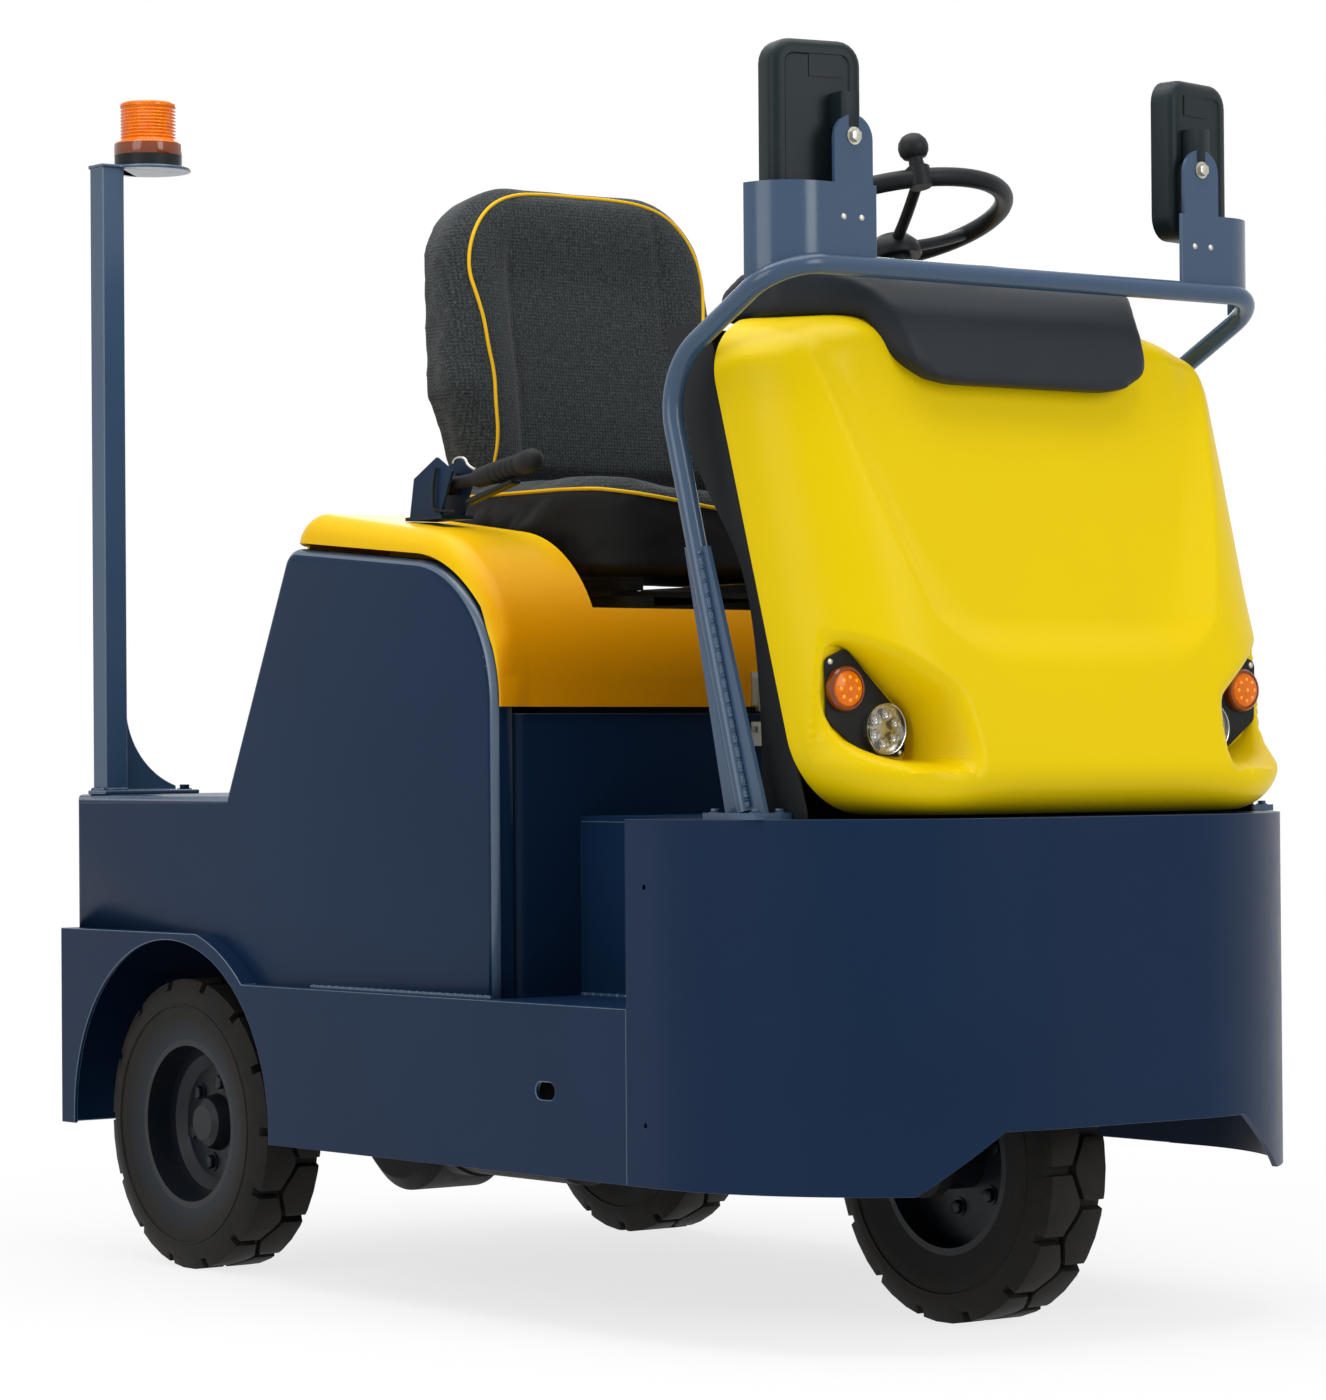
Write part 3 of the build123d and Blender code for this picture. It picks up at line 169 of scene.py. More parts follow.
soft_panel("overhead", (0.3, -0.4, 3.6), (0.1, 0, 0.4), (3.4, 2.6), 92)
soft_panel("left_of_camera", (0.6, -4.2, 2.3), (0, 0, 0.6), (2.2, 2.6), 50)
soft_panel("right_of_camera", (4.4, 0.6, 2.4), (0.2, 0, 0.7), (1.6, 2.6), 58)
soft_panel("behind", (-3.2, 2.6, 2.8), (0, 0, 0.8), (2.2, 2.0), 34)

bpy.ops.object.select_all(action="DESELECT")
bpy.ops.mesh.primitive_plane_add(size=60, location=(0, 0, 0))
floor = bpy.context.object
floor.name = "studio_floor"
paper = bpy.data.materials.new("white_paper_floor")
tree = cleared(paper)
place = add_node(tree, "ShaderNodeTexCoord")
reach = add_node(tree, "ShaderNodeVectorMath", {0: place.outputs["Object"]}, operation="LENGTH")
fade = add_node(tree, "ShaderNodeMapRange", {"Value": reach.outputs["Value"], "From Min": 0.3,
                                             "From Max": 2.2, "To Min": 0.74})
eye = add_node(tree, "ShaderNodeMath", {0: fade.outputs[0], 1: shown(tree)}, operation="MULTIPLY")
matt = add_node(tree, "ShaderNodeBsdfDiffuse", {"Color": linear("#FDFDFD")})
glow = add_node(tree, "ShaderNodeEmission", {"Color": linear("#FFFFFF"), "Strength": 1.0})
mixed = add_node(tree, "ShaderNodeMixShader", {0: eye.outputs[0], 1: matt.outputs[0], 2: glow.outputs[0]})
add_node(tree, "ShaderNodeOutputMaterial", {"Surface": mixed.outputs[0]})
floor.data.materials.append(paper)
print("studio:", scene.world.name, "and", floor.name)

# %% [markdown]
# Every finish starts from the real material. A finish here has two tones, a gloss and a skin, and each of them
# varies by a noise of a real size in millimetres on the piece's own Object coordinates. A second colour can then
# be laid over it.

# %% Starting a finish


def finish(name, values, tones, noises, gloss=None, skin=None, shares=(0.0, 1.0), stretch=None):
    """A Principled material with plain values, and what varies it.

    noises gives the size in millimetres, detail and roughness of the "tone", "gloss" and "skin" noises.
    tones are the two colours at two shares of the noise, gloss the least and most roughness, and skin the
    strength and depth of the relief.
    """
    material = bpy.data.materials.new(name)
    tree = cleared(material)
    shader = add_node(tree, "ShaderNodeBsdfPrincipled", values)
    add_node(tree, "ShaderNodeOutputMaterial", {"Surface": shader.outputs[0]})
    coords = add_node(tree, "ShaderNodeTexCoord").outputs["Object"]
    if stretch:
        coords = add_node(tree, "ShaderNodeMapping", {"Vector": coords, "Scale": stretch}).outputs[0]
    field = {}
    for use, (size, detail, broken) in noises.items():
        field[use] = add_node(tree, "ShaderNodeTexNoise", {
            "Vector": coords, "Scale": per_mm(size), "Detail": detail, "Roughness": broken}).outputs["Fac"]
    if tones:
        ramp = add_node(tree, "ShaderNodeValToRGB", {"Fac": field["tone"]})
        for stop, share, tone in zip(ramp.color_ramp.elements, shares, tones):
            stop.position = share
            stop.color = linear(tone)
        tree.links.new(ramp.outputs["Color"], shader.inputs["Base Color"])
    if gloss:
        rough = add_node(tree, "ShaderNodeMapRange", {"Value": field.get("gloss", field["tone"]),
                                                      "To Min": gloss[0], "To Max": gloss[1]})
        tree.links.new(rough.outputs[0], shader.inputs["Roughness"])
    if skin:
        bump = add_node(tree, "ShaderNodeBump", {"Height": field["skin"], "Strength": skin[0],
                                                 "Distance": skin[1]})
        tree.links.new(bump.outputs[0], shader.inputs["Normal"])
    print("finish", name, tones, gloss)
    return material, tree, coords, shader


def lay_over(tree, shader, share, code):
    """Lay another colour over a finish by a share."""
    under = shader.inputs["Base Color"].links[0].from_socket
    over = add_node(tree, "ShaderNodeMix", {"Factor": share, 6: under, 7: linear(code)}, data_type="RGBA")
    tree.links.new(over.outputs[2], shader.inputs["Base Color"])


# %% [markdown]
# ** Navy machinery enamel.** Sprayed on folded plate, it dries with a faint orange peel, about 4 mm from crest to
# crest, and a satin gloss. Large panels are never quite one tone, and the paint rubs paler where boots and hands
# pass. The paler paint on plate edges is that wear and a painted highlight.

# %% Navy enamel


def navy(name, low, high, specular, rough):
    """Navy enamel between two tones, with its own shine."""
    noises = {"tone": (260, 3.0, 0.5), "gloss": (35, 5.0, 0.5), "skin": (4, 1.0, 0.5)}
    return finish(name, {"IOR": 1.5, "Specular IOR Level": specular}, (low, high), noises,
                  (rough - 0.05, rough + 0.07), (0.05, 0.001))[0]


navy_enamel = navy("navy_machinery_enamel", "#0E253F", "#142B48", 0.10, 0.34)
# The guard hoop, brackets, post, welds and guard bolts take a paler, shinier copy of the same navy: painted light.
navy_lit_gloss = navy("navy_lit_gloss_enamel", "#334A64", "#3C5570", 0.4, 0.2)
# Plate edges take a paler, shinier navy: rubbed wear and a painted highlight.
navy_worn_highlight_edge = navy("navy_rubbed_highlight_edge", "#3B5068", "#56697F", 0.6, 0.24)

# %% [markdown]
# ** Gelcoat.** The cowl and hood are glass-fibre mouldings. Their colour is in the outer resin, so it is even and
# deep, with a soft shine. The hood's yellow leans to gold, and its forward faces take a deeper orange as painted
# shade. A slow ripple, some 90 mm long, is left by the mould.

# %% Gelcoat yellows


def gelcoat(name, low, high, rough, painted_front_shade=None):
    """Moulded yellow resin between two close tones, if asked with a deeper orange laid on faces that look forward
    as painted shade.
    """
    noises = {"tone": (300, 2.0, 0.5), "gloss": (60, 4.0, 0.5), "skin": (90, 1.0, 0.5)}
    material, tree, coords, shader = finish(name, {"IOR": 1.5, "Specular IOR Level": 0.12}, (low, high), noises,
                                            (rough - 0.04, rough + 0.05), (0.04, 0.004))
    if painted_front_shade:
        # Forward faces take the deeper orange: painted shade, where the cowl shades the hood's front.
        facing = add_node(tree, "ShaderNodeTexCoord").outputs["Normal"]
        forward = add_node(tree, "ShaderNodeSeparateXYZ", {"Vector": facing})
        share = add_node(tree, "ShaderNodeMapRange", {"Value": forward.outputs["X"], "From Min": 0.35,
                                                      "From Max": 0.97})
        lay_over(tree, shader, share.outputs[0], painted_front_shade)
    return material


cowl_yellow = gelcoat("cowl_yellow_gelcoat", "#EAC900", "#EFCF00", 0.36)
# The hood's forward faces take #EC9A00: painted shade.
hood_gold = gelcoat("hood_gold_gelcoat", "#EFBA00", "#F4C400", 0.34, "#EC9A00")

# %% [markdown]
# **Moulded dark plastics.** The dash, mirrors and grips are ABS and soft vinyl with a spark-eroded grain. The
# grain is drawn about 2 mm wide, coarser than the real half millimetre, so that it shows at this distance.

# %% Dark mouldings


def grained(name, low, high, rough, grain, strength):
    """Dark moulding with a leathery grain of a size in millimetres."""
    material, tree, coords, shader = finish(name, {"IOR": 1.48, "Specular IOR Level": 0.15}, (low, high),
                                            {"tone": (70, 4.0, 0.5)}, (rough - 0.06, rough + 0.06))
    cells = add_node(tree, "ShaderNodeTexVoronoi", {"Vector": coords, "Scale": per_mm(grain)},
                     feature="SMOOTH_F1")
    bump = add_node(tree, "ShaderNodeBump", {"Height": cells.outputs["Distance"], "Strength": strength,
                                             "Distance": 0.0006})
    tree.links.new(bump.outputs[0], shader.inputs["Normal"])
    return material


dash_vinyl = grained("dash_soft_vinyl", "#23272D", "#2B3036", 0.48, 1.8, 0.16)
slate_abs = grained("slate_moulded_abs", "#141D20", "#1D292D", 0.40, 2.0, 0.12)
black_abs = grained("black_moulded_abs", "#17191B", "#202325", 0.42, 2.0, 0.12)
grip_rubber = grained("lever_grip_rubber", "#1B1C1D", "#252627", 0.6, 2.4, 0.2)
battery_case = grained("battery_case_moulding", "#141617", "#26282A", 0.6, 3.0, 0.2)

# %% [markdown]
# **Solid tyre rubber.** Carbon-black rubber, cured in a hot mould, weathers to a dusty brown-grey where it rolls.
# Dust gathers on the tread and in the joints, so a broad noise mixes a dry earth tone into the black. Paint
# overspray dims the rubber close to the rim. The front tyre takes little of it, so its inner wall stays dark:
# painted shade.

# %% Tyre rubber
AXLE_HEIGHT = 202
FRONT_AXLE = 1162


def rubber(name, hub, spray):
    """Tyre rubber with dust, and a share of paint overspray close to the rim of the wheel at hub; a small share
    keeps the wall dark as painted shade.
    """
    material, tree, coords, shader = finish(
        name, {"IOR": 1.5, "Specular IOR Level": 0.2}, ("#0D0D0C", "#26211C"),
        {"tone": (45, 8.0, 0.65), "skin": (5, 6.0, 0.5)}, (0.5, 0.85), (0.25, 0.0012), (0.38, 0.72))
    from_hub = add_node(tree, "ShaderNodeVectorMath", {0: coords, 1: hub}, operation="SUBTRACT")
    in_plane = add_node(tree, "ShaderNodeVectorMath", {0: from_hub.outputs[0], 1: (1, 0, 1)},
                        operation="MULTIPLY")
    reach = add_node(tree, "ShaderNodeVectorMath", {0: in_plane.outputs[0]}, operation="LENGTH")
    share = add_node(tree, "ShaderNodeMapRange", {"Value": reach.outputs["Value"], "From Min": 0.122,
                                                  "From Max": 0.150, "To Min": spray, "To Max": 0.0})
    lay_over(tree, shader, share.outputs[0], "#2C3842")
    return material


rear_rubber = rubber("rear_tyre_rubber", at(0, 0, AXLE_HEIGHT), 0.5)
# The front tyre's small share of overspray leaves its inner wall dark: painted shade.
front_rubber = rubber("front_tyre_rubber", at(FRONT_AXLE, 0, AXLE_HEIGHT), 0.1)

# %% [markdown]
# ** Wheel enamel** is the same paint as the body, dulled by brake dust and grease, and laid far darker than the
# body as painted shade in the deep wheel dish. **Cast parts** under the tug are black and rough from the sand
# mould, with grains of about 3 mm.

# %% Wheel enamel and castings


def dull_paint(name, clean, dirty, rough, grain, strength):
    """Painted part with dirt in broad patches and a rough skin of a grain size in millimetres."""
    return finish(name, {"IOR": 1.5, "Specular IOR Level": 0.25}, (clean, dirty),
                  {"tone": (38, 7.0, 0.6), "skin": (grain, 3.0, 0.5)}, (rough, rough + 0.3),
                  (strength, 0.001), (0.42, 0.75))[0]


# The wheels' clean tone is far darker than the body's navy: painted shade in the wheel dish.
wheel_dirt_and_shade_enamel = dull_paint("wheel_navy_dirt_and_shade", "#0F1720", "#171615", 0.26, 5.0, 0.1)
cast_iron = dull_paint("black_sand_casting", "#0E0F10", "#1B1816", 0.5, 3.0, 0.35)

# %% [markdown]
# **Bare metals.** Bolts and the latch are zinc plated: bright, slightly yellow, with a fine drawn grain about
# 1.5 mm apart. A metal has no coloured base under a gloss, so its colour is its reflection, and it keeps the
# default IOR.

# %% Bare metals


def plated(name, low, high, rough):
    """Plated steel between two tones, streaked along X."""
    return finish(name, {"Metallic": 1.0}, (low, high), {"tone": (1.5, 3.0, 0.5)}, (rough - 0.06, rough + 0.1),
                  stretch=(0.2, 1.0, 1.0))[0]


zinc = plated("zinc_plated_steel", "#A9A69B", "#C6C3B8", 0.32)
turned_steel = plated("turned_steel", "#8D8E90", "#B4B5B6", 0.3)

# %% [markdown]
# **Lenses and mirrors.** Amber acrylic is dyed through, so thick parts go deep orange. Clear lenses and the mirror
# are plain glass and silver. A faint film of dust keeps them from looking computed.

# %% Lenses and mirrors
amber_acrylic = finish("amber_acrylic", {"IOR": 1.49, "Specular IOR Level": 0.15, "Transmission Weight": 0.1,
                                         "Coat Weight": 0.1, "Coat Roughness": 0.04},
                       ("#EA6200", "#FF8E08"), {"tone": (14, 3.0, 0.5)}, (0.05, 0.16))[0]
clear_acrylic = finish("clear_lens_acrylic", {"IOR": 1.49, "Transmission Weight": 1.0}, None,
                       {"tone": (20, 4.0, 0.5)}, (0.02, 0.1))[0]
silvered = finish("silvered_mirror", {"Metallic": 1.0, "Base Color": linear("#D9DEE2")}, None,
                  {"tone": (40, 4.0, 0.5)}, (0.02, 0.09))[0]

# %% [markdown]
# **Seat cloth.** A woven charcoal upholstery with pale flecks. The weave is drawn 2.4 mm apart, twice the real
# pitch, so that the threads still show. Two crossed waves make the over-and-under of the threads, and a fine
# noise the flecks.

# %% Seat cloth
seat_cloth, tree, coords, shader = finish(
    "flecked_charcoal_cloth", {"IOR": 1.45, "Specular IOR Level": 0.2, "Roughness": 0.9, "Sheen Weight": 0.15,
                               "Sheen Roughness": 0.5},
    ("#101213", "#4C5456"), {"tone": (3, 6.0, 0.8)}, shares=(0.40, 0.66))
threads = []
for direction in ("Y", "Z"):
    wave = add_node(tree, "ShaderNodeTexWave", {"Vector": coords, "Scale": per_mm(2.4) / 20 * math.pi,
                                                "Distortion": 0.6}, wave_type="BANDS", bands_direction=direction)
    threads.append(wave.outputs["Fac"])
weave = add_node(tree, "ShaderNodeMath", {0: threads[0], 1: threads[1]}, operation="MULTIPLY")
lay_over(tree, shader, weave.outputs[0], "#1E2123")
bump = add_node(tree, "ShaderNodeBump", {"Height": weave.outputs[0], "Strength": 0.4, "Distance": 0.0008})
tree.links.new(bump.outputs[0], shader.inputs["Normal"])

# %% [markdown]
# Now every solid takes its finish. A node whose shape is right stays as it is, and only its material changes.

# %% Finishes on the frame
finishes = {
    navy_enamel: ["skirt_right", "skirt_left", "side_panel_right", "side_panel_left", "bumper", "floor_plate",
                  "boarding_steps", "rear_panel", "rear_deck", "front_panel", "frame", "steering_head",
                  "tow_coupling", "brake_bracket"],
    # The upper tubes and brackets take the paler navy copy: painted light.
    navy_lit_gloss: ["guard_hoop", "mirror_brackets", "beacon_post"],
    cowl_yellow: ["front_cowl"],
    hood_gold: ["hood"],
    dash_vinyl: ["dash_pad"],
    black_abs: ["inner_cowl", "lamp_plates", "steering_column", "steering_wheel", "pedals", "beacon_base",
                "seat_slides"],
    slate_abs: ["mirror_housings"],
    grip_rubber: ["brake_grip"],
    rear_rubber: ["rear_tyre_right", "rear_tyre_left"],
    front_rubber: ["front_tyre"],
    wheel_dirt_and_shade_enamel: ["rear_rim_right", "rear_rim_left", "front_rim"],
    cast_iron: ["rear_axle", "drive_motor", "steer_fork"],
    turned_steel: ["front_axle"],
    zinc: ["hood_latch", "latch_keeper"],
    amber_acrylic: ["beacon_lens", "turn_lamps"],
    clear_acrylic: ["head_lamps"],
    silvered: ["mirror_glasses"],
    seat_cloth: ["seat_cushion", "seat_back"],
    battery_case: ["battery"],
}
for material, names in finishes.items():
    for name in names:
        mesh = nodes[name].data
        mesh.materials.clear()
        mesh.materials.append(material)
print("finished nodes:", sum(len(names) for names in finishes.values()))

# %% [markdown]
# ## Modelling helpers
# Work in Blender is a round of the same few moves: add a primitive, step into edit mode, choose faces or edges by
# their place, shape them, then apply modifiers. These helpers name those moves. Everything is deselected first,
# because an operator acts on all that is selected.

# %% Modelling moves


def begin(name, operator, **settings):
    """Add a primitive with nothing else selected, and name it."""
    bpy.ops.object.select_all(action="DESELECT")
    operator(**settings)
    piece = bpy.context.object
    piece.name = name
    piece.data.name = name
    return piece


def take(piece):
    """Make one piece the only selected and active one."""
    bpy.ops.object.select_all(action="DESELECT")
    piece.select_set(True)
    bpy.context.view_layer.objects.active = piece
    return piece


def bake(piece):
    """Apply a piece's place, turn and scale to its mesh."""
    take(piece)
    bpy.ops.object.transform_apply(location=True, rotation=True, scale=True)
    return piece


def block(name, size, place):
    """A cube scaled to a size in metres at a place."""
    piece = begin(name, bpy.ops.mesh.primitive_cube_add, size=1, location=place)
    piece.scale = size
    return piece


@contextmanager
def editing():
    """Edit mode on the active piece, with all of it selected."""
    bpy.ops.object.mode_set(mode="EDIT")
    bpy.ops.mesh.select_all(action="SELECT")
    yield
    bpy.ops.object.mode_set(mode="OBJECT")


def choose(piece, kind, test):
    """In edit mode, select the faces or edges whose middle passes a test."""
    mesh = bmesh.from_edit_mesh(piece.data)
    bpy.ops.mesh.select_mode(type={"faces": "FACE", "edges": "EDGE"}[kind])
    bpy.ops.mesh.select_all(action="DESELECT")
    for part in getattr(mesh, kind):
        if kind == "faces":
            middle = part.calc_center_median()
        else:
            middle = (part.verts[0].co + part.verts[1].co) / 2
        part.select = bool(test(middle, part))
    mesh.select_flush_mode()
    bmesh.update_edit_mesh(piece.data)


def face_outward():
    """Turn the active piece's faces outwards."""
    with editing():
        bpy.ops.mesh.normals_make_consistent(inside=False)


def modify(piece, kind, **settings):
    """Add a modifier with its settings and apply it."""
    take(piece)
    modifier = piece.modifiers.new(kind.title(), kind)
    for key, value in settings.items():
        setattr(modifier, key, value)
    bpy.ops.object.modifier_apply(modifier=modifier.name)
    return piece


def join(name, pieces):
    """Several pieces as one mesh."""
    bpy.ops.object.select_all(action="DESELECT")
    for piece in pieces:
        piece.select_set(True)
    bpy.context.view_layer.objects.active = pieces[0]
    if len(pieces) > 1:
        bpy.ops.object.join()
    pieces[0].name = name
    pieces[0].data.name = name
    return pieces[0]


def settle(piece, body, material, angle=35, node=None):
    """Apply a piece's place, smooth it, give it a finish, and let it ride on a body and stand for a node."""
    bake(piece)
    bpy.ops.object.shade_smooth_by_angle(angle=math.radians(angle))
    if material:
        piece.data.materials.clear()
        piece.data.materials.append(material)
    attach(piece, body)
    if node:
        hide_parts(node)
    print(piece.name, "on", body, "with", len(piece.data.polygons), "faces")


def copy_of(node, name):
    """A new piece from a node's solid, its loose triangles merged."""
    piece = bpy.data.objects.new(name, nodes[node].data.copy())
    scene.collection.objects.link(piece)
    take(piece)
    with editing():
        bpy.ops.mesh.remove_doubles(threshold=0.00005)
    return piece


def drawn(name, runs, radius=0.0, rounds=3, smooth=False, ripple=None):
    """Runs of points as a curve made a mesh: a round bar of a radius, rippled along it if asked, or a bare line."""
    data = bpy.data.curves.new(name, "CURVE")
    data.dimensions = "3D"
    data.bevel_depth = radius
    data.bevel_resolution = rounds
    data.use_fill_caps = radius > 0
    for points in runs:
        line = data.splines.new("NURBS" if smooth else "POLY")
        line.points.add(len(points) - 1)
        for k, (knot, point) in enumerate(zip(line.points, points)):
            knot.co = (*point, 1)
            if ripple:
                knot.radius = ripple(k)
        if smooth:
            line.order_u = 3
            line.use_endpoint_u = True
            line.resolution_u = 6
    piece = bpy.data.objects.new(name, data)
    scene.collection.objects.link(piece)
    take(piece)
    bpy.ops.object.convert(target="MESH")
    return bpy.context.object


def tube(name, points, radius):
    """A round bar or cord that bends smoothly along points."""
    return drawn(name, [points], radius, smooth=True)


# %% [markdown]
# ## The seat
# Back and cushion are foam under a tight woven cover. Side bolsters stand forward of a flat insert, sewn seams
# pull the cover down between them, and a yellow piping follows the crest. The solid is voxel remeshed, relieved
# where the insert lies, and swelled by Cloth pressure so that the cover bulges between its seams. The seams are
# pressed in afterwards, because a remesh would fill them.

# %% Stuffing a cushion
SWELL_FRAMES = 20
COVER_PRESSURE = 4.0


def swell(piece, cap):
    """Blow a closed mesh up like a stuffed cover, moving no point further than cap."""
    mesh = piece.data
    start = [v.co.copy() for v in mesh.vertices]
    cloth = piece.modifiers.new("Cover", "CLOTH")
    cloth.settings.use_pressure = True
    cloth.settings.uniform_pressure_force = COVER_PRESSURE
    cloth.settings.effector_weights.gravity = 0
    cloth.settings.quality = 4
    cloth.point_cache.frame_start = 1
    cloth.point_cache.frame_end = SWELL_FRAMES
    for step in range(1, SWELL_FRAMES + 1):
        scene.frame_set(step)
    swollen = piece.evaluated_get(bpy.context.evaluated_depsgraph_get()).to_mesh()
    ends = [v.co.copy() for v in swollen.vertices]
    piece.modifiers.remove(cloth)
    scene.frame_set(1)
    for vertex, rest, end in zip(mesh.vertices, start, ends):
        move = end - rest
        if move.length > cap:
            move *= cap / move.length
        vertex.co = rest + move


def press(piece, depth):
    """Move points inwards along their normals by depth(place, normal), in metres."""
    mesh = piece.data
    normals = [v.normal.copy() for v in mesh.vertices]
    for vertex, normal in zip(mesh.vertices, normals):
        vertex.co -= normal * depth(vertex.co, normal)
    mesh.update()


def nearest(u, z, path):
    """Distance in front view from a point to a line of points, and the nearest point on it."""
    best = (math.inf, u, z)
    for (au, az), (bu, bz) in zip(path, path[1:]):
        t = ((u - au) * (bu - au) + (z - az) * (bz - az)) / ((bu - au) ** 2 + (bz - az) ** 2)
        t = max(0.0, min(1.0, t))
        pu, pz = au + t * (bu - au), az + t * (bz - az)
        best = min(best, (math.hypot(u - pu, z - pz), pu, pz))
    return best


def ease(value):
    """Smooth step from 0 to 1."""
    value = max(0.0, min(1.0, value))
    return value * value * (3 - 2 * value)


# %% Seat back
CREST = [(0.0, 1.493), (0.06, 1.493), (0.11, 1.489), (0.15, 1.475), (0.178, 1.45), (0.197, 1.415), (0.203, 1.377),
         (0.197, 1.345), (0.190, 1.31), (0.188, 1.273), (0.182, 1.235), (0.185, 1.195), (0.184, 1.15),
         (0.190, 1.105), (0.192, 1.08)]
INSERT = [(0.118, 1.482), (0.130, 1.40), (0.132, 1.30), (0.130, 1.235), (0.134, 1.13)]


def insert_depth(place, normal):
    """How deep the flat insert lies between the bolsters."""
    return 0.016 * ease((0.178 - abs(place.y)) / 0.06) * ease((1.46 - place.z) / 0.1) * max(0.0, normal.x)


def seam_depth(place, normal):
    """How deep the seam along the insert pulls the cover in."""
    away = nearest(abs(place.y), place.z, INSERT)[0]
    return 0.0045 * math.exp(-(away / 0.005) ** 2) * max(0.0, normal.x)


seat_back = copy_of("seat_back", "seat_back_cover")
modify(seat_back, "REMESH", mode="VOXEL", voxel_size=0.0055)
lowest = min(v.co.z for v in seat_back.data.vertices)
for vertex in seat_back.data.vertices:
    vertex.co.z -= 0.030 * ease((lowest + 0.09 - vertex.co.z) / 0.09)
press(seat_back, lambda p, n: 0.004)
press(seat_back, insert_depth)
swell(seat_back, 0.006)
modify(seat_back, "SMOOTH", factor=0.5, iterations=20)
press(seat_back, seam_depth)
modify(seat_back, "SMOOTH", factor=0.4, iterations=3)
modify(seat_back, "SUBSURF", levels=1, render_levels=1)
settle(seat_back, "hood", seat_cloth, 60, "seat_back")

# %% [markdown]
# The piping is a thin vinyl cord sewn into the seam. Its line is known in front view, so each point is dropped onto
# the finished cover along X and lifted a little.

# %% Piping on the back
CORD_RADIUS = 0.0026
CORD_LIFT = 0.001
piping_vinyl = grained("yellow_piping_vinyl", "#E0AC10", "#EFBE1C", 0.42, 1.5, 0.05)


def dropped(piece, starts, along):
    """Where rays from some starts meet a piece, lifted for the cord, without those that miss."""
    hits = [piece.ray_cast(Vector(start), Vector(along)) for start in starts]
    return [spot + normal * CORD_LIFT for hit, spot, normal, _ in hits if hit]


line = [(-y, z) for y, z in reversed(CREST)] + CREST[1:]
points = dropped(seat_back, [(2, y, z) for y, z in line], (-1, 0, 0))
settle(tube("seat_back_piping", points, CORD_RADIUS), "hood", piping_vinyl, 60)

# %% [markdown]
# The cushion is lower and wider: a pad with a rounded front, crowned on top, with piping round its upper front
# edge.

# %% Seat cushion
low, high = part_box("seat_cushion")
middle = (low + high) / 2
size = (high.x - low.x - 0.016, high.y - low.y - 0.016, high.z - low.z - 0.02)
cushion = bake(block("seat_cushion_cover", size, middle))
with editing():
    choose(cushion, "edges", lambda p, e: abs(e.verts[0].co.z - e.verts[1].co.z) > 0.05 and p.x > middle.x)
    bpy.ops.mesh.bevel(offset=0.12, segments=8, affect="EDGES")
    choose(cushion, "edges", lambda p, e: p.z > middle.z + 0.03)
    bpy.ops.mesh.bevel(offset=0.022, segments=3, affect="EDGES")
modify(cushion, "REMESH", mode="VOXEL", voxel_size=0.006)
press(cushion, lambda p, n: 0.026 * ease((0.22 - abs(p.y)) / 0.2) * max(0.0, n.z))
swell(cushion, 0.007)
modify(cushion, "SMOOTH", factor=0.4, iterations=4)
modify(cushion, "SUBSURF", levels=1, render_levels=1)
settle(cushion, "hood", seat_cloth, 60, "seat_cushion")

# %% [markdown]
# The cushion's piping runs along its upper front edge, which dips in the middle for the legs, and back along both
# sides. Below it the cover is near black: painted shade on the shadowed front and sides.

# %% Piping on the cushion
HALF_EDGE = 0.222


def edge_height(y):
    """Height of the cushion's sewn edge across the seat."""
    return 1.036 + 0.028 * min(1.0, abs(y) / 0.21) ** 1.3


across = [-HALF_EDGE + 2 * HALF_EDGE * k / 36 for k in range(37)]
edge = dropped(cushion, [(2, y, edge_height(y)) for y in across], (-1, 0, 0))
tails = {}
for side, corner in zip(SIDES, (edge[0], edge[-1])):
    stations = [corner.x + (low.x + 0.03 - corner.x) * k / 8 for k in range(1, 9)]
    tails[side] = dropped(cushion, [(x, side, corner.z) for x in stations], (0, -side, 0))
edge = tails[-1][::-1] + edge + tails[1]
settle(tube("seat_cushion_piping", edge, CORD_RADIUS), "hood", piping_vinyl, 60)
# The cover below the piping takes a near-black finish: painted shade.
front_painted_shade = grained("cushion_front_painted_shade", "#0F1010", "#171818", 0.6, 2.0, 0.15)
cushion.data.materials.append(front_painted_shade)
for face in cushion.data.polygons:
    face.material_index = int(face.center.z < edge_height(face.center.y) - 0.002)

# %% [markdown]
# ## The front cowl
# The cowl is one big moulding: it leans back, its corners are round in plan, its chin and shoulders are round from
# the front, and its middle is a shallow scoop. A grid is the honest start for such a skin. Its rows climb the
# middle line from the chin over the nose to the rear edge, its columns run round the corner, and code then presses
# in the scoop and the two lamp pockets.

# %% Cowl lines
HALF = 375.0
CHIN = 643.0
TOP = 1246.0
LEAN = 0.305
CHIN_ARC = (1382.1, 685.5, 43)
BROW_ARC = (1204.3, 1176, 70)
TOP_ROUND = 85
LOW_ROUND = 90
SCOOP_DEPTH = 21.0
SCOOP_FOOT = 818
LAMP_FLOOR = 1306.0
MOUTH = [(392, 868), (340, 862), (286, 838), (238, 812), (208, 790), (201, 750), (198, 706), (210, 684), (300, 686),
         (392, 700)]
THROAT = [(361, 826), (347, 847), (322, 842), (252, 784), (228, 760), (225, 704), (240, 700), (304, 704),
          (361, 744)]
PANEL_EDGE = [(818, 100), (871, 125), (913, 172), (953, 203), (1013, 228), (1108, 255), (1200, 290), (1300, 310)]
RIDGE_EDGE = [(818, 150), (852, 205), (880, 236), (1031, 284), (1167, 318), (1300, 340)]


